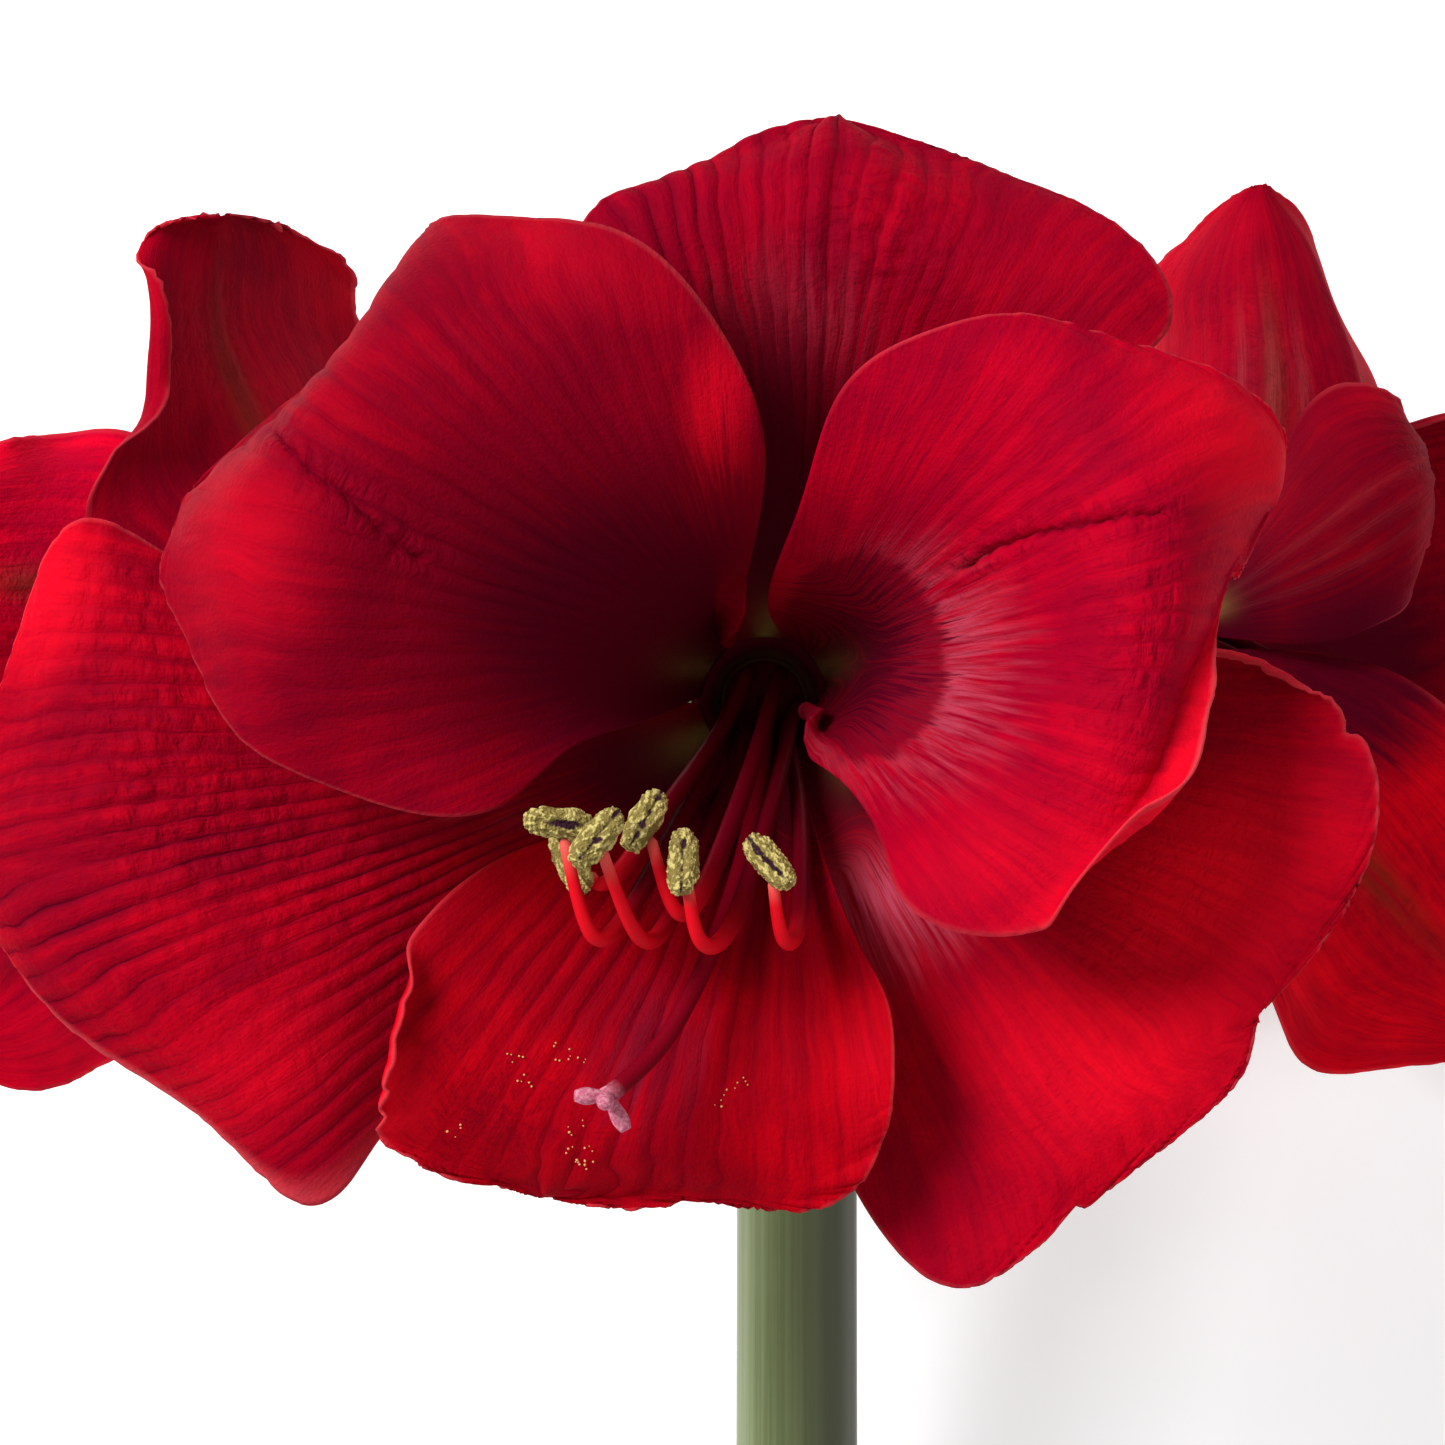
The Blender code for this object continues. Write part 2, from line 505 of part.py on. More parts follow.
def make_scape():
    """The flower stalk: smooth, thick and slightly thicker at the cut, with a low rounded head."""
    top, cut = scape_axis()
    sides = 20
    stations = np.array((0.0, 0.012, 0.04, 0.2, 0.4, 0.6, 0.8, 1.0))
    path = top + stations[:, None] * (cut - top)
    radii = SCAPE_RADIUS_TOP + (SCAPE_RADIUS_CUT - SCAPE_RADIUS_TOP) * stations
    radii[:2] = (SCAPE_RADIUS_TOP - 1.6, SCAPE_RADIUS_TOP - 0.3)
    way = unit(cut - top)
    low = np.cross((1.0, 0.0, 0.0), way)
    low = low * -np.sign(low[2])
    turn = np.linspace(0.0, 2.0 * math.pi, sides, endpoint=False)
    spokes = np.cos(turn)[:, None] * low + np.sin(turn)[:, None] * np.array((1.0, 0.0, 0.0))
    rings = path[:, None, :] + radii[:, None, None] * spokes[None]
    add_object("scape", *skin(rings), SCAPE_GREEN, 0.45)


def make_bracts():
    """The two withered spathe valves, on the scape's head, bent down along the stalk."""
    top, cut = scape_axis()
    down = unit(cut - top)
    across = np.array((1.0, 0.0, 0.0))
    below = np.cross(across, down)
    below = below * -np.sign(below[2])
    for name, turn_degrees, length in (("bract_left", -118.0, 44.0), ("bract_right", 112.0, 38.0)):
        turn = math.radians(turn_degrees)
        outward = -below * math.cos(turn) + across * math.sin(turn)
        sideways = np.cross(down, outward)
        step = np.linspace(0.0, 1.0, 9)
        bend = np.sin(math.pi * step * 0.62)
        base = SCAPE_RADIUS_TOP + BRACT_STANDOFF
        midrib = (top + down * (2.0 + length * step[:, None])
                  + outward * (base + 9.0 * bend + 4.0 * step)[:, None])
        half = 7.5 * (1.0 - step)**0.6 + 0.9
        droop = -outward * (half**2 / (2.0 * base))[:, None]
        edge_a = midrib + sideways * half[:, None] + droop
        edge_b = midrib - sideways * half[:, None] + droop
        grid = ruffle(blade(edge_a[:-1], midrib, edge_b[:-1], (4, 10)), 0.8, 2.5, turn)
        leaf_solid(name, grid, BRACT_THICKNESS, BRACT_BROWN, 0.7)


def make_tube(name, bloom):
    """Pedicel, three-lobed ovary and flaring tube in one piece, with a funnel in its mouth."""
    top, cut = scape_axis()
    up_scape = unit(top - cut)
    seat_x, seat_z = bloom["pedicel_seat"]
    across = np.array((1.0, 0.0, 0.0))
    start = top + up_scape * FIT_GAP + across * seat_x + np.cross(across, up_scape) * seat_z
    mouth = lay_down(into_umbel((0.0, 0.0, -TUBE_DROP), bloom))
    throat = lay_down(into_umbel((0.0, 0.0, -TUBE_LENGTH), bloom))
    facing = unit(mouth - throat)
    reach = np.linalg.norm(throat - start)
    leave = start + up_scape * 0.45 * reach
    arrive = throat - facing * 0.45 * reach
    t = np.linspace(0.0, 1.0, 11)[1:, None]
    curve = ((1 - t)**3 * start + 3 * (1 - t)**2 * t * leave + 3 * (1 - t) * t**2 * arrive
             + t**3 * throat)
    stalk = np.vstack((start, start + up_scape * 1.5, curve))
    funnel_steps = np.array((0.2, 0.45, 0.7, 0.88, 1.0))[:, None]
    funnel = throat + funnel_steps * (mouth - throat)
    cup_steps = np.array((1.0, 0.92, 0.8, 0.655))[:, None]
    cup = throat + cup_steps * (mouth - throat)
    stalk_radii = np.full(12, PEDICEL_RADIUS)
    stalk_radii[7:] = (3.6, 4.6, OVARY_RADIUS, OVARY_RADIUS, 5.2)
    funnel_radii = np.array((4.9, 5.7, 7.4, 8.5, TUBE_MOUTH_RADIUS))
    cup_radii = np.array((TUBE_MOUTH_RADIUS - 1.0, 7.4, 6.7, 6.2))
    lobes = np.zeros(17)
    lobes[9:12] = (0.06, 0.09, 0.05)
    outer = tube_rings(np.concatenate((stalk, funnel)), np.concatenate((stalk_radii, funnel_radii)),
                       TUBE_SIDES, lobes)
    spokes = unit(outer[-1] - mouth)
    inner = cup[:, None, :] + cup_radii[:, None, None] * spokes[None]
    add_object(name, *skin(np.concatenate((outer, inner))), PEDICEL_GREEN, 0.45)


def make_stamens(bloom_name, bloom):
    """The six filaments on their ring, fused in one piece, and an anther at the end of each."""
    ring_path = lay_down(into_umbel([(0.0, 0.0, -9.9), (0.0, 0.0, -9.2), (0.0, 0.0, -8.9)], bloom))
    bodies = [skin(tube_rings(ring_path, (5.7, 5.7, 5.3), 12))]
    for index, stamen in enumerate(STAMENS):
        path = np.array([seen(*point) for point in stamen["path"]])
        anther_ends = np.array([seen(*point) for point in stamen["anther"]])
        centre = anther_ends.mean(axis=0)
        length_way = anther_ends[1] - anther_ends[0]
        along = unit(length_way)
        facing = np.array((0.0, 0.0, 1.0))
        across = unit(np.cross(facing, along))
        to_anther = unit(centre - path[-1])
        shares = (np.dot(to_anther, along) / (ANTHER_LENGTH / 2.0),
                  np.dot(to_anther, across) / (ANTHER_WIDTH / 2.0),
                  np.dot(to_anther, np.cross(along, across)) / (ANTHER_DEPTH / 2.0))
        surface = 1.0 / np.linalg.norm(shares)
        end = centre - to_anther * (surface + ANTHER_GAP)
        line = spline(np.vstack((path, end)), FILAMENT_STEPS)
        placed = lay_down(into_umbel(line, bloom))
        radii = np.linspace(FILAMENT_RADIUS, FILAMENT_RADIUS * 0.8, FILAMENT_STEPS + 1)
        bodies.append(skin(tube_rings(placed, radii, 5)))
        rings = ball_rings(centre, length_way, ANTHER_LENGTH, across, ANTHER_WIDTH, ANTHER_DEPTH, 6, 6)
        add_object(f"{bloom_name}_anther_{index + 1}", *skin(lay_down(into_umbel(rings, bloom))),
                   POLLEN_YELLOW, 0.9)
    fuse(f"{bloom_name}_filaments", bodies, FILAMENT_RED, 0.35)


def make_pistil(bloom_name, bloom):
    """The style and the three spreading lobes of its stigma, fused in one piece."""
    line = spline([seen(*point) for point in STYLE_PATH], STYLE_STEPS)
    radii = np.linspace(STYLE_RADIUS, STYLE_RADIUS * 0.95, STYLE_STEPS + 1)
    bodies = [skin(tube_rings(lay_down(into_umbel(line, bloom)), radii, 6))]
    root = line[-1]
    for lobe in STIGMA_LOBES:
        lobe_end = np.array(seen(*lobe))
        steps = np.linspace(-0.25, 1.0, 5)[:, None]
        lobe_path = root + steps * (lobe_end - root)
        lobe_radii = (1.0, 1.3, 1.5, 1.5, 0.9)
        bodies.append(skin(tube_rings(lay_down(into_umbel(lobe_path, bloom)), lobe_radii, 6)))
    fuse(f"{bloom_name}_pistil", bodies, STYLE_RED, 0.4)


def make_front_petals():
    """The front bloom's petals, from their guide lines."""
    for index, (name, petal) in enumerate(FRONT_PETALS.items()):
        grid = ruffle(blade(*picture_guides(petal), PETAL_CELLS), 1.1, 4.0, 1.7 * index)
        placed = lay_down(into_umbel(grid, BLOOMS["front"]))
        leaf_solid(f"front_petal_{name}", placed, PETAL_THICKNESS, PETAL_RED, 0.4)


def make_side_petals(bloom_name, bloom, petals):
    """A side bloom's petals, on its tube's mouth."""
    for index, (name, petal) in enumerate(petals.items()):
        guides = side_petal_guides(petal, name.endswith("inner"), bloom)
        grid = ruffle(blade(*guides, SIDE_CELLS), 1.2, 3.5, 2.1 * index)
        leaf_solid(f"{bloom_name}_petal_{name}", lay_down(grid), PETAL_THICKNESS, PETAL_RED, 0.4)


def main():
    """Build every piece of the lying stem."""
    clear_scene()
    make_scape()
    make_bracts()
    for bloom_name, bloom in BLOOMS.items():
        make_tube(f"{bloom_name}_pedicel_and_tube", bloom)
        make_stamens(bloom_name, bloom)
        make_pistil(bloom_name, bloom)
    make_front_petals()
    make_side_petals("left", BLOOMS["left"], LEFT_PETALS)
    make_side_petals("right", BLOOMS["right"], RIGHT_PETALS)


main()
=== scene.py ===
"""Finished looks of a cut red amaryllis stem that lies on a pale floor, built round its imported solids.

Each petal is a thin curved blade. Its middle surface is a function of two parameters: u runs across
it from one edge (-1) over the midrib (0) to the other edge (1), and v runs along it from the mouth of
the tube (0) to the tip (1). All lengths in the tables are millimetres, and meshes are in metres.
"""

import math

import bpy
import numpy as np
from mathutils import Matrix


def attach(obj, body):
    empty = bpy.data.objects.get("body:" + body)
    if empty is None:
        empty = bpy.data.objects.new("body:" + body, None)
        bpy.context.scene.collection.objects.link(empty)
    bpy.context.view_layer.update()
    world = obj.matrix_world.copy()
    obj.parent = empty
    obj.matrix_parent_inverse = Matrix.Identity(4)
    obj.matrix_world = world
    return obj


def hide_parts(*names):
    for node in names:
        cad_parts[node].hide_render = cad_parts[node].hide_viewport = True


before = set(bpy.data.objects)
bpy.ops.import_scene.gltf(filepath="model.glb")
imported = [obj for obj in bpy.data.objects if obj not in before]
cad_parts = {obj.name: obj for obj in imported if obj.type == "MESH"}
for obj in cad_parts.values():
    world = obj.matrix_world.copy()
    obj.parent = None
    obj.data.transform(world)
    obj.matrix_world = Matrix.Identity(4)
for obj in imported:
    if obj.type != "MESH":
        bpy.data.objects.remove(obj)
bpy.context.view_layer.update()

bl_info = {
    "name": "Cut amaryllis stem",
    "version": (1, 0, 0),
    "blender": (4, 5, 0),
    "location": "View3D > Sidebar > Amaryllis",
    "description": "Builds the petals, stamens, pistils and stem of a lying amaryllis",
    "category": "Add Mesh",
}

MM = 0.001
ROOT = "root"

# The front bloom is laid out on its picture, seen from straight in front: the picture's width in
# pixels and in millimetres, the eye's distance, the pixel that the throat shows at and its radius,
# how far the throat is drawn back and over how many pixels, and the camera that sees it so
PICTURE_SIZE = 1445.0
PICTURE_WIDTH = 200.8
VIEW_DISTANCE = 600.0
THROAT_ACROSS = 765.0
THROAT_DOWN = 700.0
THROAT_PIXELS = 65.0
TRUMPET_DEPTH = 22.0
TRUMPET_PIXELS = 220.0
FOCAL_LENGTH = 107.57
SENSOR_WIDTH = 36.0

# The umbel: where the scape ends and where each bloom's tube opens, across, up and towards the eye
UMBEL_POINT = (12.0, -25.0, -95.0)
BLOOMS = {
    "front": dict(mouth=(6.1, 3.2, -TRUMPET_DEPTH), facing=(0.0, 0.0, 1.0), pedicel_seat=(0.0, 5.0)),
    "left": dict(mouth=(-62.0, 14.0, -94.0), facing=(-0.88, 0.05, -0.42), pedicel_seat=(-4.6, -2.7)),
    "right": dict(mouth=(74.0, 14.0, -94.0), facing=(0.88, 0.05, -0.42), pedicel_seat=(4.6, -2.7)),
}

# Lying pose: the stem leans back by this angle, with the floor this far below the front mouth
LYING_TILT = math.radians(9.0)
FLOOR_DEPTH = 155.0
LYING_ACROSS = -10.41
LYING_ALONG = 92.0

# Guide lines of the front petals. A station is picture pixels across and down, and millimetres
# towards the eye. The first station is on the tube's mouth; the midrib's last one is the tip.
FRONT_PETALS = {
    "upper_left_inner": dict(
        edge_a=[(700, 696, 0.3), (640, 722, 20), (565, 752, 32), (490, 811, 42),
                (370, 802, 47), (250, 740, 46), (182, 645, 41), (168, 560, 35)],
        midrib=[(709, 668, 0.3), (655, 655, 12), (580, 612, 26), (490, 568, 39), (415, 535, 47),
                (345, 495, 51), (285, 447, 47), (255, 450, 36), (190, 491, 30)],
        edge_b=[(729, 646, 0.3), (744, 585, 18), (765, 470, 32), (742, 368, 40),
                (665, 262, 40), (545, 213, 34), (440, 228, 24), (400, 300, 8)]),
    "upper_right_inner": dict(
        edge_a=[(801, 646, 0.3), (768, 600, 18), (800, 505, 30), (838, 395, 38),
                (925, 332, 42), (1050, 316, 42), (1180, 360, 39), (1283, 425, 33)],
        midrib=[(821, 668, 0.3), (862, 655, 9), (920, 632, 21), (990, 607, 33), (1060, 582, 43),
                (1130, 557, 49), (1195, 535, 47), (1243, 518, 38), (1269, 507, 29)],
        edge_b=[(830, 696, 0.3), (794, 742, 14), (840, 780, 25), (884, 850, 37),
                (925, 920, 44), (1045, 930, 48), (1135, 835, 47), (1200, 660, 42)]),
    "bottom_inner": dict(
        edge_a=[(793, 758, 0.3), (818, 840, 14), (852, 930, 23), (886, 1000, 28),
                (896, 1075, 30), (880, 1150, 28), (825, 1203, 24), (680, 1208, 20)],
        midrib=[(765, 765, 0.3), (748, 835, 7), (725, 905, 14), (700, 970, 20), (672, 1035, 24),
                (640, 1095, 26), (605, 1145, 25), (570, 1180, 22), (545, 1198, 19)],
        edge_b=[(737, 758, 0.3), (690, 805, 14), (590, 830, 22), (475, 872, 28),
                (398, 958, 31), (366, 1050, 31), (385, 1148, 27), (465, 1175, 23)]),
    "top_outer": dict(
        edge_a=[(737, 642, 0), (700, 590, 4), (640, 480, 13), (592, 380, 21),
                (562, 292, 25), (585, 222, 22), (660, 180, 17), (750, 143, 13)],
        midrib=[(765, 635, 0), (775, 590, 1), (790, 505, 5), (804, 415, 12), (817, 325, 19),
                (829, 245, 23), (837, 185, 21), (841, 145, 16), (839, 119, 11)],
        edge_b=[(793, 642, 0), (835, 600, 4), (900, 525, 9), (985, 455, 15),
                (1075, 405, 21), (1150, 352, 24), (1168, 285, 22), (1050, 190, 15)]),
    "lower_left_outer": dict(
        edge_a=[(729, 754, 0), (702, 838, 2), (575, 950, 8), (450, 1060, 13),
                (370, 1155, 18), (300, 1200, 18), (175, 1103, 17), (40, 992, 16)],
        midrib=[(709, 732, 0), (650, 765, 3), (550, 790, 10), (430, 815, 18), (310, 835, 24),
                (190, 850, 28), (90, 860, 27), (15, 866, 21), (-40, 868, 14)],
        edge_b=[(700, 704, 0), (600, 690, 6), (480, 660, 13), (360, 618, 18),
                (255, 580, 22), (165, 550, 24), (75, 525, 23), (5, 660, 21)]),
    "lower_right_outer": dict(
        edge_a=[(830, 704, 0), (900, 690, 6), (990, 668, 10), (1090, 645, 14),
                (1190, 632, 18), (1295, 655, 24), (1378, 775, 30), (1345, 910, 31)],
        midrib=[(821, 732, 0), (870, 780, 3), (930, 835, 8), (1000, 885, 13), (1070, 930, 18),
                (1140, 965, 23), (1195, 990, 27), (1235, 1005, 29), (1260, 1015, 30)],
        edge_b=[(802, 753, 0), (790, 848, 1), (794, 975, 7), (818, 1100, 12),
                (878, 1228, 16), (965, 1288, 19), (1082, 1212, 23), (1222, 1100, 28)]),
}

# What makes up a petal's look, with the values of a petal whose own look says nothing else. Heights,
# depths and radii are millimetres. A patch is an ellipse on the picture: its centre across and down,
# its half widths across and down, and its turn in degrees.
PLAIN_LOOK = dict(
    # Painted light and shade: how light this petal's reds are made, one factor or one each for red, green and
    # blue
    painted_light_tone=0.9,
    # The number of ribs across, their height, and where they are strongest: u and its spread
    ribs=16, rib_height=0.25, ribbed=(0.0, 2.0),
    # The pixel that the ribs spread from, their mean direction in degrees, and their number in a radian
    fan=None,
    # How dark the sunk veins are: partly their own darker red, partly painted shade in these hollows
    vein=0.3,
    # The height of the cross puckers, and where they are strongest: u, v and their spreads
    quilt_height=0.25, quilt=(0.0, 0.6, 0.6, 0.2),
    # The depth of the fold over the midrib, and from where to where along the petal it runs
    crease=0.0, crease_span=(0.3, 0.95),
    # A furrow through points of the picture
    furrow=[],
    # The height of the fine waves on the edges
    crisp=0.3,
    # Margins bent over: the side, the share of the half width where the bend starts, its radius, its
    # turn towards the eye in degrees, and from where to where along the petal
    rolls=[],
    # Places where an edge is drawn in: the side, the place along, its spread and the depth
    notches=[],
    # Painted sheen on stretches of an edge, made paler: the side, the place along, its spread, the width and
    # the share
    pale=[],
    # The dark throat of a front petal, partly its own maroon and partly painted shade in the deep bowl: a
    # patch, how softly its outline fades and how softly its dark does. toothed is how raggedly the streaks
    # end at it
    dark=None, toothed=0.2,
    # Painted shade elsewhere on a front petal, a thin dark layer: a patch and its strength
    painted_shade_veil=None,
    # Painted sheen on a front petal, a mauve tint: a patch and its strength
    mauve=None,
    # Painted light on a front petal: lighter places, each a patch and its strength, and the strength of the
    # painted light on its rolls
    glows=[], lip_glow=0.0,
    # Partly painted shade, where the blooms shade each other, and partly the dark red of their throats: a
    # dark patch on a side petal
    shade=None,
    # The strengths of the olive streak and of the pale stripes on the back of a side petal
    olive=0.7, stripes=0.0,
)
# On each front petal the tone and the glows are painted light and shade, the veil is painted shade, the mauve
# patch is painted sheen and the dark throat is partly painted shade
FRONT_LOOKS = {
    "upper_left_inner": dict(
        painted_light_tone=0.60, ribs=19, rib_height=0.8, ribbed=(0.2, 0.6), fan=(745, 655, 150, 13.0), vein=0.5,
        quilt_height=0.6, quilt=(0.05, 0.62, 0.05, 0.05), crisp=0.2,
        furrow=[(282, 438), (310, 468), (345, 492), (382, 530), (420, 556)],
        rolls=[(1, 0.72, 1.2, 120.0, (0.03, 0.14))],
        dark=(650, 640, 270, 200, -22, 0.8, 0.75), mauve=(540, 590, 150, 90, -20, 0.25),
        glows=[(250, 560, 110, 120, 0, 0.3), (560, 250, 160, 70, -20, 0.25), (715, 430, 45, 120, 0, 0.8)]),
    "upper_right_inner": dict(
        painted_light_tone=1.0, ribs=18, rib_height=0.32, ribbed=(0.2, 1.0), fan=(790, 670, 5, 14.0), vein=0.26,
        quilt_height=0.75, quilt=(0.30, 0.66, 0.5, 0.13), crisp=0.4,
        furrow=[(966, 566), (992, 548), (1030, 534), (1080, 524), (1130, 514), (1160, 512)],
        rolls=[(1, 0.82, 2.2, 150.0, (0.60, 0.93)), (1, 0.82, 1.0, 165.0, (0.05, 0.20))],
        notches=[(1, 0.905, 0.022, 6.0), (-1, 0.93, 0.02, 1.0)], pale=[(1, 0.8, 0.14, 0.03, 0.8)],
        dark=(862, 658, 88, 106, 5, 0.16, 1.0), toothed=1.0, mauve=(905, 668, 175, 175, -20, 1.0),
        glows=[(1220, 430, 130, 90, -30, 0.8), (1000, 860, 160, 90, 0, 0.4), (1150, 800, 90, 160, 30, 0.3)],
        lip_glow=1.0),
    "bottom_inner": dict(
        painted_light_tone=(0.95, 0.95, 0.4), ribs=20, rib_height=0.6, ribbed=(0.05, 0.6), fan=(790, 640, -95, 17.0),
        vein=0.55, quilt_height=0.35, quilt=(0.55, 0.72, 0.45, 0.16), crisp=0.7,
        rolls=[(-1, 0.93, 1.2, 150.0, (0.90, 0.985)), (1, 0.88, 2.0, 100.0, (0.45, 0.76))],
        notches=[(1, 0.78, 0.02, 1.2), (-1, 0.86, 0.015, 1.5)], pale=[(1, 0.7, 0.2, 0.03, 0.5)],
        dark=(748, 790, 120, 120, 10, 0.8, 1.0), painted_shade_veil=(650, 1050, 115, 150, 0, 0.5),
        mauve=(650, 1050, 120, 130, 0, 0.3),
        glows=[(385, 1105, 60, 75, 0, 1.0), (870, 1090, 40, 110, 0, 0.4)], lip_glow=0.6),
    "top_outer": dict(
        painted_light_tone=0.78, ribs=20, rib_height=0.95, ribbed=(-0.45, 0.55), fan=(790, 620, 90, 17.0), vein=1.0,
        quilt_height=1.2, quilt=(0.18, 0.74, 0.35, 0.16), crease=0.5, crease_span=(0.45, 0.97),
        crisp=0.25, notches=[(1, 0.965, 0.012, 1.0)],
        dark=(765, 490, 120, 200, 8, 0.8, 0.9), mauve=(775, 350, 150, 150, 10, 0.7),
        glows=[(1060, 270, 110, 90, 0, 0.1)]),
    "lower_left_outer": dict(
        painted_light_tone=(0.88, 0.88, 0.65), ribs=34, rib_height=0.33, fan=(800, 700, -150, 28.0), vein=1.0,
        quilt_height=1.4, quilt=(0.30, 0.60, 0.9, 0.24), crease=0.3, crisp=0.2,
        pale=[(-1, 0.75, 0.22, 0.10, 0.8)],
        dark=(640, 775, 125, 70, -10, 0.8, 0.9), mauve=(480, 800, 120, 50, -10, 0.4),
        glows=[(45, 590, 75, 130, -15, 0.9), (260, 1060, 170, 90, 25, 0.5)]),
    "lower_right_outer": dict(
        painted_light_tone=(0.92, 0.92, 0.7), ribs=22, rib_height=0.28, fan=(780, 700, -50, 22.0), vein=0.25,
        quilt_height=0.35, quilt=(0.0, 0.62, 0.7, 0.15), crisp=0.5,
        rolls=[(-1, 0.90, 1.6, 140.0, (0.42, 0.72))],
        notches=[(1, 0.735, 0.012, 2.5), (-1, 0.70, 0.01, 2.0)], pale=[(-1, 0.5, 0.2, 0.025, 0.6)],
        dark=(850, 770, 95, 85, 30, 0.8, 0.9), mauve=(880, 890, 150, 130, 20, 0.9),
        glows=[(1200, 890, 200, 130, 35, 1.2), (1130, 1040, 190, 150, 20, 1.0)], lip_glow=0.5),
}

# Side petals that the picture shows, and the depth of the fold over the midrib that all side petals have.
# Their tones are painted light and shade, and a shade patch is partly painted shade
SIDE_LOOKS = {
    "left_top_outer": dict(
        painted_light_tone=0.75, rib_height=0.12, vein=0.12, crisp=0.7, olive=0.4,
        rolls=[(1, 0.72, 1.6, 160.0, (0.46, 0.86))],
        notches=[(-1, 0.86, 0.02, 1.5), (-1, 0.80, 0.01, 1.0), (-1, 0.92, 0.012, 1.2)]),
    "left_upper_eye_inner": dict(painted_light_tone=1.65),
    "left_lower_eye_outer": dict(painted_light_tone=1.75),
    "right_top_outer": dict(
        painted_light_tone=0.85, rib_height=0.12, vein=0.10, stripes=0.4,
        rolls=[(-1, 0.62, 2.0, -30.0, (0.35, 0.99))]),
    "right_upper_eye_inner": dict(
        painted_light_tone=0.6, rib_height=0.15, vein=0.08, crisp=0.5, olive=0.0, stripes=0.15,
        shade=(1350, 660, 120, 130, 0)),
    "right_upper_floor_inner": dict(shade=(1350, 660, 150, 150, 0)),
    "right_lower_eye_outer": dict(painted_light_tone=(1.9, 3.0, 0.8), shade=(1350, 690, 150, 140, 0)),
}
SIDE_CREASE = 0.4

# Petals of the side blooms, each at its azimuth about the bloom's axis. Those that the picture shows
# have guide lines on it, as the front ones have, but starting after the mouth. The others have a
# midrib length and a blade width in millimetres, the midrib's angle from the axis at the mouth and at
# the tip, and the degrees that the edges are bent forward at the mouth and at the tip.
LEFT_PETALS = {
    "top_outer": dict(
        azimuth=82,
        edge_a=[(347, 541, -106), (354, 489, -114), (361, 430, -120),
                (363, 375, -122), (359, 325, -120), (358, 281, -114), (318, 240, -103)],
        midrib=[(306, 534, -92), (280, 486, -91), (256, 434, -90), (234, 380, -89),
                (217, 326, -88), (210, 277, -86), (214, 226, -84), (224, 214, -73)],
        edge_b=[(222, 596, -83), (130, 574, -77), (86, 512, -73),
                (116, 442, -71), (138, 373, -70), (137, 306, -71), (148, 236, -76)]),
    "upper_eye_inner": dict(
        azimuth=12,
        edge_a=[(262, 552, -98), (215, 502, -104), (170, 456, -107),
                (118, 432, -106), (58, 430, -102), (0, 446, -94), (-58, 480, -84)],
        midrib=[(250, 612, -92), (190, 604, -94), (130, 596, -93), (72, 590, -90),
                (14, 584, -84), (-42, 580, -76), (-90, 580, -67), (-132, 585, -58)],
        edge_b=[(228, 690, -91), (153, 720, -92), (77, 740, -90),
                (10, 748, -85), (-48, 741, -78), (-96, 717, -71), (-128, 665, -63)]),
    "lower_eye_outer": dict(
        azimuth=316,
        edge_a=[(220, 652, -78), (145, 664, -71), (75, 686, -65),
                (15, 718, -60), (-35, 765, -56), (-70, 828, -54), (-88, 915, -54)],
        midrib=[(262, 716, -85), (212, 760, -82), (163, 806, -79), (116, 852, -76),
                (70, 898, -73), (25, 945, -70), (-20, 992, -66), (-66, 1040, -61)],
        edge_b=[(285, 770, -95), (255, 850, -98), (225, 925, -99),
                (190, 995, -97), (145, 1046, -92), (80, 1078, -84), (5, 1087, -74)]),
    "bottom_inner": dict(azimuth=262, length=84, width=54, flare=40, roll=68, cup=(28, 6)),
    "lower_floor_outer": dict(azimuth=202, length=74, width=60, flare=62, roll=138, cup=(18, -12)),
    "upper_floor_inner": dict(azimuth=141, length=78, width=56, flare=36, roll=116, cup=(30, -8)),
}
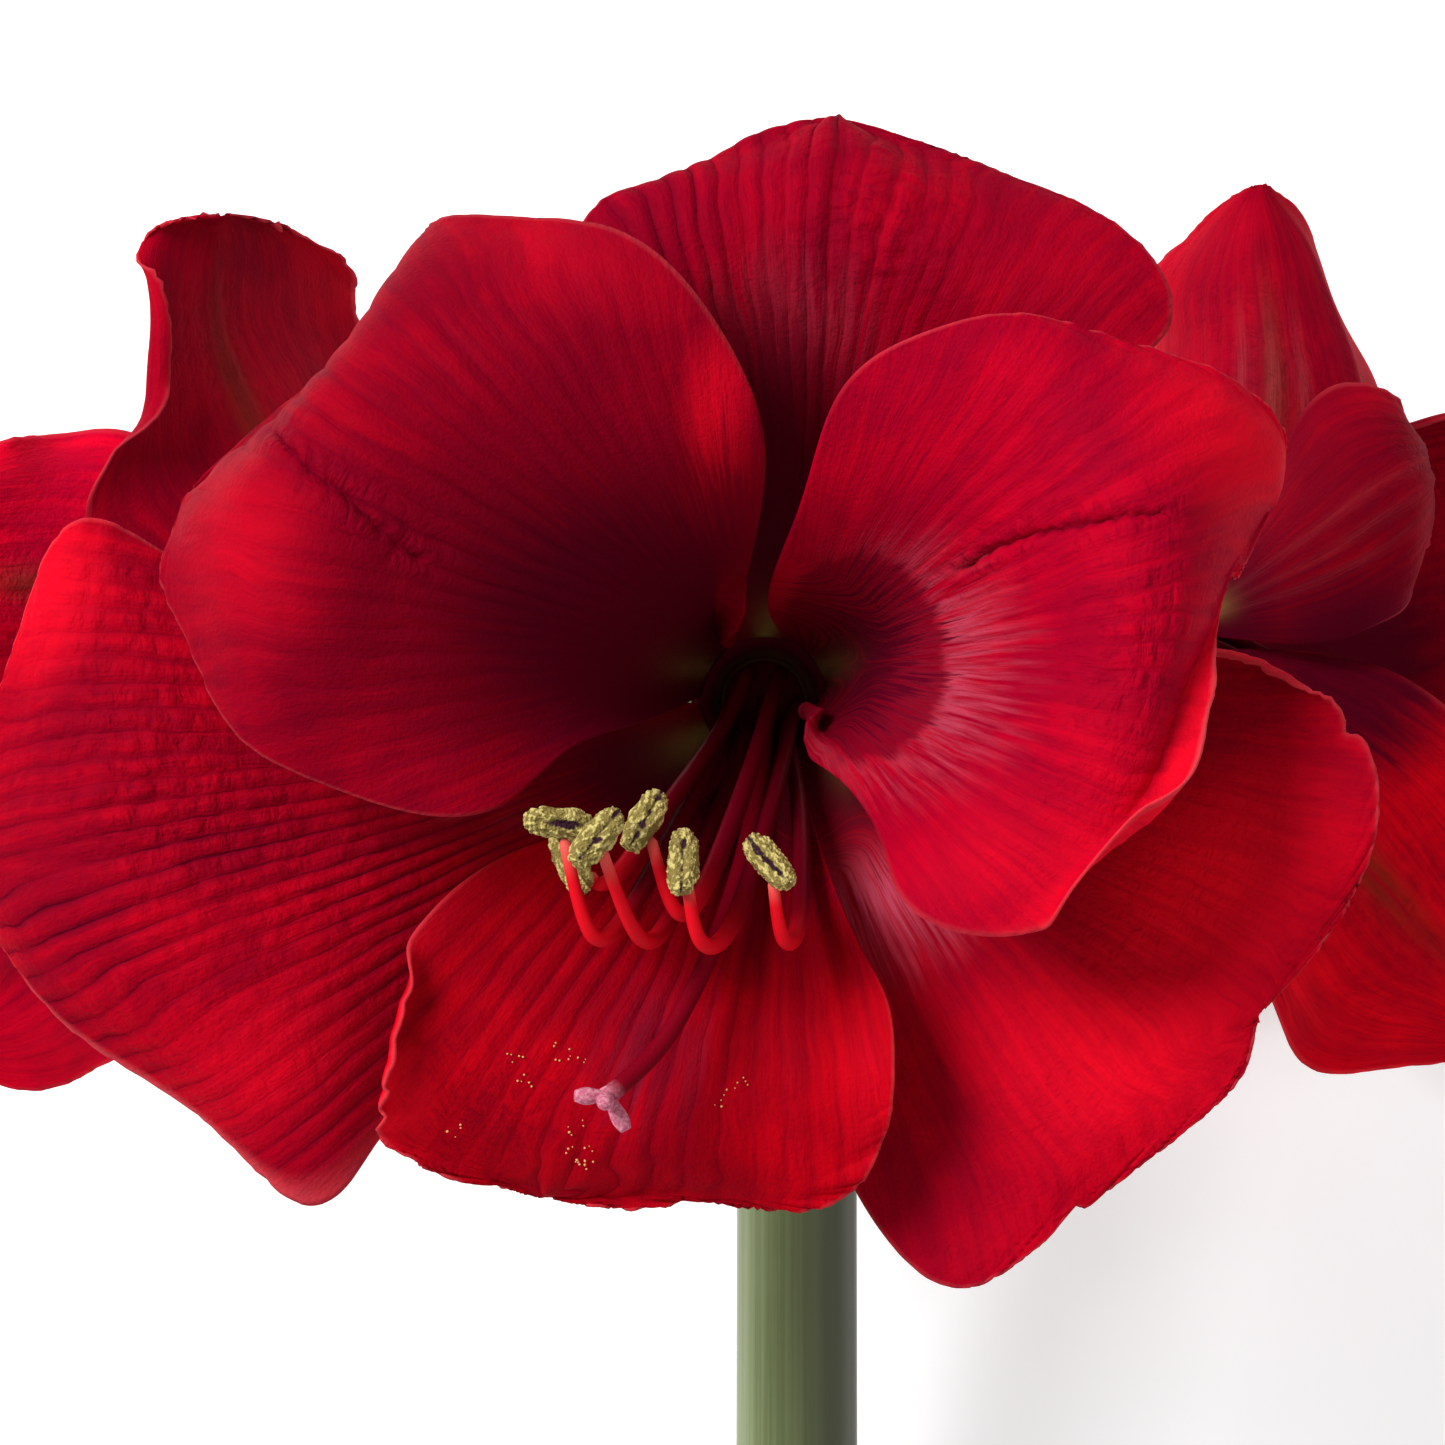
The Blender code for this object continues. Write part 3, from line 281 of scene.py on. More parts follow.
RIGHT_PETALS = {
    "top_outer": dict(
        azimuth=93,
        edge_a=[(1262, 560, -92), (1340, 525, -96), (1398, 475, -101),
                (1416, 415, -105), (1394, 342, -105), (1352, 270, -101), (1305, 214, -95)],
        midrib=[(1215, 540, -91), (1250, 495, -89), (1270, 445, -88), (1274, 390, -87),
                (1270, 335, -87), (1265, 280, -87), (1261, 230, -87), (1259, 185, -87)],
        edge_b=[(1172, 541, -106), (1165, 493, -113), (1155, 440, -117),
                (1150, 385, -118), (1150, 330, -116), (1158, 275, -111), (1192, 226, -101)]),
    "upper_eye_inner": dict(
        azimuth=156,
        edge_a=[(1275, 642, -82), (1330, 641, -77), (1376, 625, -75),
                (1406, 598, -76), (1419, 565, -81), (1421, 535, -90), (1416, 503, -99)],
        midrib=[(1262, 588, -79), (1312, 562, -72), (1358, 535, -68), (1398, 508, -68),
                (1423, 487, -74), (1429, 474, -84), (1422, 467, -94), (1410, 465, -103)],
        edge_b=[(1242, 528, -86), (1276, 464, -83), (1308, 408, -81),
                (1346, 380, -80), (1384, 396, -81), (1405, 418, -87), (1411, 438, -95)]),
    "lower_eye_outer": dict(
        azimuth=222,
        edge_a=[(1222, 770, -95), (1240, 850, -97), (1255, 930, -97),
                (1272, 1010, -95), (1308, 1063, -90), (1375, 1072, -83), (1445, 1062, -75)],
        midrib=[(1246, 722, -85), (1286, 772, -82), (1327, 822, -79), (1368, 870, -76),
                (1408, 915, -73), (1446, 957, -70), (1480, 996, -67), (1510, 1032, -64)],
        edge_b=[(1290, 650, -87), (1355, 660, -84), (1415, 683, -79),
                (1468, 728, -73), (1510, 790, -67), (1537, 862, -61), (1540, 950, -60)]),
    "bottom_inner": dict(azimuth=274, length=78, width=54, flare=46, roll=72, cup=(28, 6)),
    "lower_floor_outer": dict(azimuth=331, length=74, width=60, flare=62, roll=138, cup=(18, -12)),
    "upper_floor_inner": dict(
        azimuth=32,
        edge_a=[(1230, 532, -111), (1290, 482, -118), (1350, 446, -121),
                (1405, 426, -121), (1455, 421, -119), (1503, 429, -115), (1545, 447, -111)],
        midrib=[(1215, 575, -113), (1270, 545, -121), (1325, 520, -126), (1378, 500, -129),
                (1430, 485, -130), (1480, 475, -128), (1527, 470, -124), (1568, 470, -118)],
        edge_b=[(1215, 690, -113), (1275, 735, -119), (1335, 760, -124),
                (1390, 768, -128), (1445, 762, -130), (1495, 740, -130), (1540, 690, -127)]),
}

# Stamens of a bloom: each filament's path from the ring in the throat, and its anther's two ends
STAMENS = [
    dict(path=[(732, 703, -9), (728, 712, 2), (712, 755, 12), (672, 835, 24),
               (624, 918, 35), (590, 932, 41)],
         anther=((528, 820, 44), (590, 826, 44))),
    dict(path=[(748, 673, -9), (744, 682, 2), (718, 735, 14), (672, 800, 25),
               (628, 862, 33), (602, 884, 35)],
         anther=((564, 846, 36), (577, 878, 36))),
    dict(path=[(748, 728, -9), (744, 738, 2), (727, 790, 10), (700, 850, 20),
               (664, 928, 33), (634, 930, 42)],
         anther=((577, 862, 51), (616, 814, 53))),
    dict(path=[(781, 673, -9), (776, 684, 2), (764, 726, 14), (740, 800, 27),
               (702, 893, 37), (674, 908, 43)],
         anther=((630, 846, 46), (659, 796, 48))),
    dict(path=[(798, 703, -9), (793, 714, 2), (785, 748, 12), (765, 830, 25),
               (730, 928, 36), (700, 940, 43)],
         anther=((681, 891, 49), (684, 833, 50))),
    dict(path=[(782, 728, -9), (786, 738, 2), (797, 790, 11), (801, 850, 20),
               (798, 925, 30), (783, 938, 37)],
         anther=((746, 836, 45), (793, 888, 44))),
]
STYLE_PATH = [(765, 703, -8.4), (765, 722, 0), (763, 755, 6), (754, 810, 12), (740, 870, 19),
              (718, 935, 26), (688, 1000, 32), (655, 1052, 36), (608, 1096, 40)]
STIGMA_LOBES = [(575, 1096, 41), (604, 1104, 45.5), (626, 1130, 41)]

# Where pollen has dropped on the bottom petal, in picture pixels
POLLEN_SPOTS = [(515, 1052), (562, 1053), (577, 1063), (523, 1083), (577, 1125), (571, 1149),
                (584, 1156), (711, 1086), (740, 1084), (720, 1098), (455, 1128), (590, 1150)]

# Millimetres: half a petal's width at its tip, how much higher and further in the inner petals stand
# on the mouth, the tube's length, how far its rim lies under the mouth, and the gap between a
# filament and its anther
TIP_HALF_WIDTH = 1.2
INNER_STEP = 0.5
TUBE_LENGTH = 30.0
TUBE_DROP = 0.4
ANTHER_GAP = 0.6

# How far a side petal's foot reaches round the mouth on each side of its middle, and how far it is
# cupped there
PETAL_HALF_TURN = 26.0
MOUTH_CUP = math.radians(13.0)

# Cells across and along the front petals, the drawn side petals, the hidden ones and the spathe
# valves, and along and round the anthers
FRONT_CELLS = (140, 176)
SIDE_CELLS = (56, 84)
HIDDEN_CELLS = (32, 60)
BRACT_CELLS = (36, 90)
ANTHER_CELLS = (60, 64)
FAR_ANTHER_CELLS = (24, 28)

# Waves along the edges: their number on a front petal, whose height is a setting, and their height
# and number on a side petal and on a spathe valve
FRONT_WAVES = 4.0
SIDE_WAVES = (1.2, 3.5)
BRACT_WAVES = (0.8, 2.5)

# What sets one petal or anther apart from the next: the phase of its waves, the shift of its
# material's noise and the seed of its relief, which grow by these from one to the next
FRONT_PHASE, FRONT_SHIFT, FRONT_SEED = 1.7, 1.7, 11
SIDE_PHASE, SIDE_SHIFT, SIDE_SEED, SIDE_FIRST_SEED = 2.1, 2.3, 7, 100
ANTHER_SEED, ANTHER_FIRST_SEED = 5, 31
MARGIN_SEED = 20

# How softly a tint fades inside the outline of its patch
MAUVE_SOFTNESS = 1.0
GLOW_SOFTNESS = 0.8
SHADE_SOFTNESS = 0.9

# Spreads of the fold over a midrib and of its puckers, in parts of the half width, of a furrow and
# its puckers, in pixels, and of a pale stripe on a back, with the places of the stripes
FOLD_SPREADS = (0.035, 0.16)
FURROW_SPREADS = (5.0, 30.0)
STRIPE_SPREAD = 0.05
STRIPE_PLACES = (-0.22, 0.0, 0.24)

# The spathe valves: the turn of each round the scape in degrees, and its length
BRACTS = {"bract_left": (-118.0, 44.0), "bract_right": (112.0, 38.0)}

# Sides of the scape and of a tube, steps along a tube and down its cup, the part of the way on which
# a pedicel keeps straight at either end, and how far the painted shade on the scape's dark flank fades over
# its middle
SCAPE_SIDES = 120
TUBE_SIDES = 48
TUBE_STEPS = 64
CUP_STEPS = 12
BEND_SHARE = 0.45
FLANK_SHARE = 0.9

# The ring at the foot of the filaments, how they swell and thin out, the radius of the point that
# each has inside its anther, the radii of a stigma's lobe, and the steps along each and their sides
RING_HEIGHTS = (-9.9, -9.6, -9.2, -8.9)
RING_RADII = (5.7, 5.75, 5.7, 5.3)
FILAMENT_TAPER = (1.0, 1.05, 1.15, 1.25, 0.98, 0.72)
FILAMENT_POINT = 0.35
LOBE_RADII = (0.7, 0.8, 0.95, 1.15, 0.75)
RING_SIDES = 48
FILAMENT_STEPS, FILAMENT_SIDES = 54, 16
STYLE_STEPS, STYLE_SIDES = 70, 18
LOBE_STEPS, LOBE_SIDES = 21, 20

# Dropped crumbs of pollen: how many on a spot, how far off it in pixels, how high over the petal's
# middle surface, and their least and largest radius
CRUMBS_ON_A_SPOT = 5
CRUMB_SCATTER = 9.0
CRUMB_LIFT = 0.9
CRUMB_RADII = (0.08, 0.20)

# Where the two lights stand in the umbel's frame, in millimetres, and how wide they are, in metres
KEY_SPOT = (-600.0, 425.0, 665.0)
KEY_SIZE = 0.5
FILL_SPOT = (760.0, -160.0, 420.0)
FILL_SIZE = 0.9
WHITE = (1.0, 1.0, 1.0, 1.0)

# Cells of the lattice that smooth noise is read from, along each side
LATTICE = 64

ACROSS = np.array((1.0, 0.0, 0.0))


def length_setting(name, description, default_mm):
    """A length that the panel shows, given here in millimetres."""
    return bpy.props.FloatProperty(name=name, description=description, default=default_mm * MM,
                                   min=0.0, unit="LENGTH", precision=5)


def colour_setting(name, description, default):
    """A colour that the panel shows."""
    return bpy.props.FloatVectorProperty(name=name, description=description, default=default,
                                         size=3, min=0.0, max=1.0, subtype="COLOR")


class PetalSettings(bpy.types.PropertyGroup):
    """Sizes and colours of the petals."""
    thickness: length_setting("Thickness", "Thickness of a petal at its midrib", 0.8)
    margin_thickness: length_setting("Margin thickness", "Thickness of a petal at its edge", 0.4)
    ruffle_height: length_setting("Ruffle", "Height of the waves along the edges", 1.1)
    red: colour_setting("Red", "Main red of the petals", (0.30, 0.0002, 0.015))
    bright_red: colour_setting("Bright red", "Red on the raised and thin places", (0.48, 0.0003, 0.015))
    # Painted light: a lighter red where light comes through or falls on a petal
    painted_light_red: colour_setting("Glow red", "Red where light comes through", (0.82, 0.0030, 0.017))
    # The deep red and the maroon of the dark throat are partly its own colour, partly painted shade in the
    # deep bowl
    deep_red: colour_setting("Deep red", "Red at the outline of the dark throat", (0.20, 0.0003, 0.011))
    maroon: colour_setting("Maroon", "Darkest red, in the throat", (0.100, 0.0006, 0.012))
    # Partly the veins' own darker red, partly painted shade in the sunk veins, the seams between puckers and
    # the fold over the midrib
    vein_red: colour_setting("Vein red", "Red of the sunk veins", (0.09, 0.0002, 0.010))
    # Painted sheen: the mauve tint beside the dark throat, where light glances off the velvet
    mauve: colour_setting("Mauve", "Silky tint beside the dark throat", (0.52, 0.070, 0.125))
    # Painted sheen: a thin pale line on the edges, and paler stretches of them
    edge_sheen_pink: colour_setting("Edge pink", "Thin pale line on the edges", (0.62, 0.060, 0.080))
    back_streak: colour_setting("Back streak", "Green brown streak on the back", (0.075, 0.030, 0.010))
    stripe_pink: colour_setting("Stripe pink", "Pale stripes on the back", (0.42, 0.060, 0.070))
    star_green: colour_setting("Star green", "Yellow green at the foot", (0.36, 0.24, 0.06))


class StamenSettings(bpy.types.PropertyGroup):
    """Sizes and colours of the stamens and pistils."""
    filament_radius: length_setting("Filament radius", "Radius at the foot of a filament", 1.05)
    style_radius: length_setting("Style radius", "Radius of the style", 1.3)
    anther_length: length_setting("Anther length", "Length of an anther", 9.2)
    anther_width: length_setting("Anther width", "Width of an anther", 4.05)
    anther_depth: length_setting("Anther depth", "Depth of an anther", 3.55)
    filament_red: colour_setting("Filament red", "Red of the filaments", (0.62, 0.004, 0.012))
    # Painted shade: the dark red at the foot of the filaments, deep in the throat
    filament_foot_shade: colour_setting("Filament foot", "Dark red at the foot", (0.10, 0.0005, 0.006))
    style_red: colour_setting("Style red", "Red of the style", (0.17, 0.0006, 0.008))
    filament_pink: colour_setting("Filament pink", "Paler end by the anther", (0.80, 0.12, 0.10))
    pollen_yellow: colour_setting("Pollen yellow", "Yellow of the pollen", (0.60, 0.50, 0.17))
    pollen_brown: colour_setting("Pollen brown", "Crumbs that dropped on a petal", (0.80, 0.42, 0.16))
    pollen_olive: colour_setting("Pollen olive", "Darker pollen", (0.24, 0.18, 0.05))
    anther_purple: colour_setting("Anther purple", "Skin of the anthers", (0.035, 0.010, 0.020))
    stigma_mauve: colour_setting("Stigma mauve", "Mauve pink of the stigma", (0.45, 0.10, 0.17))
    stigma_pink: colour_setting("Stigma pink", "Paler hairs of the stigma", (0.66, 0.26, 0.33))


class StemSettings(bpy.types.PropertyGroup):
    """Sizes and colours of the scape, the spathe valves and the pedicels."""
    scape_length: length_setting("Scape length", "From the umbel to the cut", 275.0)
    scape_radius_top: length_setting("Top radius", "Radius of the scape at the umbel", 9.6)
    scape_radius_cut: length_setting("Cut radius", "Radius of the scape at the cut", 10.2)
    mouth_radius: length_setting("Mouth radius", "Radius of the tube's mouth", 9.0)
    pedicel_radius: length_setting("Pedicel radius", "Radius of a pedicel", 3.5)
    ovary_radius: length_setting("Ovary radius", "Radius of an ovary", 6.3)
    bract_thickness: length_setting("Bract thickness", "Thickness of a spathe valve", 0.7)
    light_green: colour_setting("Light green", "Waxy bloom of the scape", (0.27, 0.345, 0.15))
    dark_green: colour_setting("Dark green", "Deeper streaks of the scape", (0.165, 0.22, 0.075))
    # Painted shade: the right flank of the scape made darker, away from the light
    flank_shade_green: colour_setting("Flank green", "Deeper green of the right flank", (0.028, 0.034, 0.003))
    cut_green: colour_setting("Cut green", "Pale flesh on the cut", (0.52, 0.60, 0.36))
    bract_tan: colour_setting("Bract tan", "Dry skin of the spathe valves", (0.42, 0.26, 0.13))
    bract_brown: colour_setting("Bract brown", "Veins of the spathe valves", (0.17, 0.08, 0.035))


class StageSettings(bpy.types.PropertyGroup):
    """The floor, the lights and the camera."""
    floor_size: length_setting("Floor size", "Width of the pale floor", 6000.0)
    floor_colour: colour_setting("Floor", "Colour of the floor", (0.92, 0.93, 0.94))
    floor_glow: bpy.props.FloatProperty(name="Floor glow", default=0.36, min=0.0,
                                        description="Light that a lit white cloth gives off by itself")
    focal_length: bpy.props.FloatProperty(name="Focal length", default=FOCAL_LENGTH, min=1.0,
                                          description="Focal length of the camera, in millimetres")
    key_power: bpy.props.FloatProperty(name="Key light", default=12.0, min=0.0,
                                       description="Power of the soft light from the upper left")
    fill_power: bpy.props.FloatProperty(name="Fill light", default=0.8, min=0.0,
                                        description="Power of the weak light from the right")
    sky_strength: bpy.props.FloatProperty(name="Sky", default=0.50, min=0.0,
                                          description="Strength of the even light from all round")


def unit(vector):
    """The vector at length one, also for a whole array of vectors."""
    vector = np.asarray(vector, float)
    return vector / np.linalg.norm(vector, axis=-1, keepdims=True)


def smooth_step(value, low, high):
    """Zero below low, one above high, and an S curve between them."""
    share = np.clip((value - low) / (high - low), 0.0, 1.0)
    return share * share * (3.0 - 2.0 * share)


def bell(value, centre, spread):
    """A bell curve that is one at the centre."""
    return np.exp(-((value - centre) / spread)**2)


def value_noise(x, y, seed):
    """Smooth noise from -1 to 1: random numbers on a square lattice, joined by S curves."""
    lattice = np.random.default_rng(seed).uniform(-1.0, 1.0, (LATTICE, LATTICE))
    x_floor = np.floor(x).astype(int)
    y_floor = np.floor(y).astype(int)
    x_share = smooth_step(x - x_floor, 0.0, 1.0)
    y_share = smooth_step(y - y_floor, 0.0, 1.0)
    x_low, x_high = x_floor % LATTICE, (x_floor + 1) % LATTICE
    y_low, y_high = y_floor % LATTICE, (y_floor + 1) % LATTICE
    low = lattice[x_low, y_low] * (1.0 - x_share) + lattice[x_high, y_low] * x_share
    high = lattice[x_low, y_high] * (1.0 - x_share) + lattice[x_high, y_high] * x_share
    return low * (1.0 - y_share) + high * y_share


def seen(across, down, towards):
    """The point of the front bloom's frame that the picture shows at a pixel, at a given depth.

    Near the throat the depth is drawn back smoothly, so that the petals form a trumpet.
    """
    from_throat = math.hypot(across - THROAT_ACROSS, down - THROAT_DOWN)
    nearness = min(1.0, max(0.0, 1.0 - (from_throat - THROAT_PIXELS) / TRUMPET_PIXELS))
    depth = towards - TRUMPET_DEPTH * nearness**2
    size = PICTURE_WIDTH / PICTURE_SIZE * (1.0 - depth / VIEW_DISTANCE)
    middle = PICTURE_SIZE / 2.0
    mouth_x, mouth_y, mouth_z = BLOOMS["front"]["mouth"]
    return ((across - middle) * size - mouth_x, (middle - down) * size - mouth_y, depth - mouth_z)


def picture(points):
    """Where points of the umbel's frame show on the picture, in pixels across and down."""
    size = PICTURE_WIDTH / PICTURE_SIZE * (1.0 - points[..., 2] / VIEW_DISTANCE)
    middle = PICTURE_SIZE / 2.0
    return points[..., 0] / size + middle, middle - points[..., 1] / size


def spline(points, count):
    """A natural cubic curve through the points, read at count + 1 even steps from end to end."""
    knots = np.asarray(points, float)
    last = len(knots) - 1
    system = np.eye(last + 1)
    bend = np.zeros_like(knots)
    for row in range(1, last):
        system[row, row - 1:row + 2] = (1.0, 4.0, 1.0)
        bend[row] = 6.0 * (knots[row - 1] - 2.0 * knots[row] + knots[row + 1])
    second = np.linalg.solve(system, bend)
    place = np.linspace(0.0, last, count + 1)
    low = np.minimum(place.astype(int), last - 1)
    high_part = (place - low)[:, None]
    low_part = 1.0 - high_part
    straight = low_part * knots[low] + high_part * knots[low + 1]
    curved = (low_part**3 - low_part) * second[low] + (high_part**3 - high_part) * second[low + 1]
    return straight + curved / 6.0


def blade(edge_a, midrib, edge_b, cells):
    """The middle surface of a petal: at each station a parabola through its two edges and midrib."""
    cells_across, cells_along = cells
    tip = np.array(midrib[-1], float)
    side = TIP_HALF_WIDTH * unit(np.subtract(edge_b[-1], edge_a[-1]))
    line_a = spline(list(edge_a) + [tip - side], cells_along)
    line_m = spline(midrib, cells_along)
    line_b = spline(list(edge_b) + [tip + side], cells_along)
    u = np.linspace(-1.0, 1.0, cells_across + 1)[:, None, None]
    return line_a * u * (u - 1.0) / 2.0 + line_m * (1.0 - u * u) + line_b * u * (u + 1.0) / 2.0


def surface_normals(grid):
    """Unit normals of a grid of points, from its differences across and along."""
    return unit(np.cross(np.gradient(grid, axis=0), np.gradient(grid, axis=1)))


def parameters(grid):
    """The two parameters of a petal's grid: u across, from -1 to 1, and v along, from 0 to 1."""
    u = np.linspace(-1.0, 1.0, grid.shape[0])[:, None] * np.ones((1, grid.shape[1]))
    v = np.linspace(0.0, 1.0, grid.shape[1])[None, :] * np.ones((grid.shape[0], 1))
    return u, v


def ruffle(grid, height, waves, phase):
    """Wave a blade's two edges along their length, less towards the midrib, the mouth and the tip."""
    u, v = parameters(grid)
    lift = height * np.sin(2.0 * math.pi * waves * v + phase + 1.3 * np.sign(u))
    fade = np.abs(u)**3 * np.clip(2.5 * v - 0.6, 0.0, 1.0) * np.clip(6.0 * (1.0 - v), 0.0, 1.0)
    return grid + surface_normals(grid) * (lift * fade)[:, :, None]


def distance_along(grid):
    """How far each point of a petal's grid lies from the mouth along its own line of constant u."""
    steps = np.linalg.norm(np.diff(grid, axis=1), axis=-1)
    return np.concatenate((np.zeros((grid.shape[0], 1)), np.cumsum(steps, axis=1)), axis=1)


def rib_numbers(grid, look, seed):
    """Which rib each point lies on, as a number that grows across the petal.

    At the foot the ribs lie evenly over the width, and from there on they are spokes of the fan.
    """
    u, v = parameters(grid)
    wander = 0.45 * value_noise(u * 3.0 + 7.0, v * 3.0, seed)
    wander = wander + 0.10 * value_noise(u * 10.0, v * 18.0, seed + 1)
    number = look["ribs"] / 2.0 * (u + 1.0) + wander + 4.0
    if look["fan"]:
        centre_across, centre_down, direction, ribs_in_radian = look["fan"]
        across, down = picture(grid)
        spoke = np.arctan2(centre_down - down, across - centre_across) - math.radians(direction)
        spoke = np.arctan2(np.sin(spoke), np.cos(spoke))
        spread = smooth_step(v, 0.08, 0.2)
        number = number * (1.0 - spread) + (ribs_in_radian * spoke + wander + 14.0) * spread
    return number


def petal_creases(grid, look, seed):
    """How deep each point lies in the fold over the midrib or in the furrow, and in their puckers."""
    u, v = parameters(grid)
    start, end = look["crease_span"]
    reach = smooth_step(v, start, start + 0.2) * smooth_step(end - v, 0.0, 0.15)
    ragged = 0.02 * np.sin(9.0 * v) + 0.012 * value_noise(v * 60.0, v * 0.0, seed + 6)
    crease, puckered = (bell(u, ragged, spread) * reach * look["crease"] for spread in FOLD_SPREADS)
    if look["furrow"]:
        width, pucker_width = FURROW_SPREADS
        crease = np.maximum(crease, furrow_depth(grid, look["furrow"], width))
        puckered = np.maximum(puckered, 0.9 * furrow_depth(grid, look["furrow"], pucker_width))
    return crease, puckered


def petal_relief(grid, look, seed):
    """The height of a petal's ribs, puckers and crease, and the attributes that its material needs.

    A rib is a rounded ridge between two sunk veins, a root of a sine of the rib number, and each has
    a height of its own. Puckers are the pillows between the zero lines of a noise of the rib number
    and the distance along. Those two are passed on, so that the material draws the veins finely.
    """
    u, v = parameters(grid)
    along = distance_along(grid)
    number = rib_numbers(grid, look, seed)
    rib_heights = np.random.default_rng(seed + 2).uniform(0.35, 1.0, LATTICE)
    own_height = rib_heights[np.floor(number).astype(int) % LATTICE]
    rib = np.abs(np.sin(math.pi * number))**0.6
    bent_along = along + 1.2 * value_noise(u * 9.0, along / 4.0, seed + 3)
    own_place = 0.9 * number + 7.7 * np.floor(number)
    pillow = 0.5 + 0.5 * value_noise(own_place, bent_along / 1.3, seed + 4)
    pillow = pillow * (1.0 - 0.5 * np.abs(value_noise(number * 0.7, bent_along / 2.9, seed + 8)))
    quilt_u, quilt_v, spread_u, spread_v = look["quilt"]
    patchy = 0.75 + 0.35 * value_noise(u * 4.0, v * 6.0, seed + 5)
    quilted = np.clip(bell(u, quilt_u, spread_u) * bell(v, quilt_v, spread_v) * patchy, 0.0, 1.0)
    crease, puckered = petal_creases(grid, look, seed)
    quilted = np.maximum(quilted, puckered)
    from_edge = 1.0 - np.abs(u)
    inside = smooth_step(v, 0.12, 0.42) * smooth_step(1.0 - v, 0.0, 0.05) * smooth_step(from_edge, 0.0, 0.10)
    ribbed = 0.25 + 0.75 * bell(u, *look["ribbed"])
    ribs = look["rib_height"] * own_height * ribbed * (1.0 - 0.4 * quilted)
    height = inside * rib * (ribs + look["quilt_height"] * quilted * pillow)
    swell = value_noise(u * 2.0 + 3.0, v * 3.5, seed + 7) * smooth_step(v, 0.2, 0.6)
    patches = 0.65 + 0.5 * value_noise(u * 5.0, v * 5.0, seed + 9)
    veined = look["vein"] * inside * (0.3 + 0.7 * own_height) * patches * ribbed
    height = height - 1.1 * crease + swell * smooth_step(from_edge, 0.0, 0.3)
    return height, {"rib": number, "distance": bent_along, "veined": veined, "quilt": quilted * inside,
                    "crease": crease}


def shape_margins(grid, look, seed):
    """Crisp a petal's edges with fine waves, and draw them in at its notches.

    The waves stand along the surface's normals, and a notch draws the edge in along the surface,
    with a wider strip of it the deeper the notch is.
    """
    u, v = parameters(grid)
    along = distance_along(grid)
    waves = value_noise(along / 1.7, 3.0 * np.sign(u), seed)
    waves = waves + 0.6 * value_noise(along / 0.9, 5.0 + np.sign(u), seed + 1)
    near_edge = smooth_step(np.abs(u), 0.84, 1.0)
    late = smooth_step(v, 0.45, 0.75) * smooth_step(1.0 - v, 0.0, 0.03)
    shaped = grid + surface_normals(grid) * (look["crisp"] * waves * near_edge * late)[..., None]
    outward = unit(np.gradient(grid, axis=0)) * np.sign(u)[..., None]
    drawn_in = 0.25 * look["crisp"] * (1.0 + value_noise(along / 1.1, 7.0 * np.sign(u), seed + 2)) * late
    drawn_in = drawn_in * smooth_step(np.abs(u), 0.80, 1.0)
    for side, centre, spread, depth in look["notches"]:
        widening = smooth_step(side * u, 0.85 - 0.09 * depth, 1.0)
        drawn_in = drawn_in + depth * bell(v, centre, spread) * widening
    return shaped - outward * drawn_in[..., None]


def roll_margin(grid, side, start, radius, turn_degrees, span):
    """Bend a petal's margin beyond |u| = start round an arc, towards the eye where the turn is positive.

    At a distance s beyond the bend, the turn is s / radius up to its limit: along the surface the
    point lies at radius sin(turn), and out of it at radius (1 - cos(turn)), then straight on.
    """
    v = parameters(grid)[1]
    last = len(grid) - 1
    bend = round((1.0 + side * start) / 2.0 * last)
    rows = np.arange(bend, last + 1) if side > 0 else np.arange(bend, -1, -1)
    way = unit(grid[bend + side] - grid[bend - side])
    out = surface_normals(grid)[bend]
    out = out * np.sign(out[:, 2].mean()) * np.sign(turn_degrees)
    low, high = span
    ramp = 0.3 * (high - low)
    fade = np.maximum(smooth_step(v[0], low, low + ramp) * smooth_step(high - v[0], 0.0, ramp), 1e-3)
    steps = np.linalg.norm(np.diff(grid[rows], axis=0), axis=-1)
    reach = np.concatenate((np.zeros((1, grid.shape[1])), np.cumsum(steps, axis=0)))
    turn = np.minimum(reach * fade / radius, math.radians(abs(turn_degrees)) * fade)
    rest = reach - turn * radius / fade
    flat = np.sin(turn) * radius / fade + rest * np.cos(turn)
    raised = (1.0 - np.cos(turn)) * radius / fade + rest * np.sin(turn)
    bent = grid[bend] + way * flat[..., None] + out * raised[..., None]
    share = smooth_step(fade, 0.0, 0.5)[:, None]
    rolled = grid.copy()
    rolled[rows] = grid[rows] * (1.0 - share) + bent * share
    return rolled


def patch_depth(grid, patch, softness):
    """How deep each point lies in a patch of the picture: 0 on its outline, 1 or -1 well in or out."""
    across, down, reach_across, reach_down, turn_degrees = patch
    picture_across, picture_down = picture(grid)
    turn = math.radians(turn_degrees)
    right = (picture_across - across) * math.cos(turn) - (picture_down - down) * math.sin(turn)
    low = (picture_across - across) * math.sin(turn) + (picture_down - down) * math.cos(turn)
    return np.clip((1.0 - np.hypot(right / reach_across, low / reach_down)) / softness, -1.0, 1.0)


def patch_tint(grid, patch, softness):
    """How strong the tint of a patch is at each point. The patch ends with its full strength."""
    *outline, strength = patch
    return strength * np.maximum(0.0, patch_depth(grid, outline, softness))


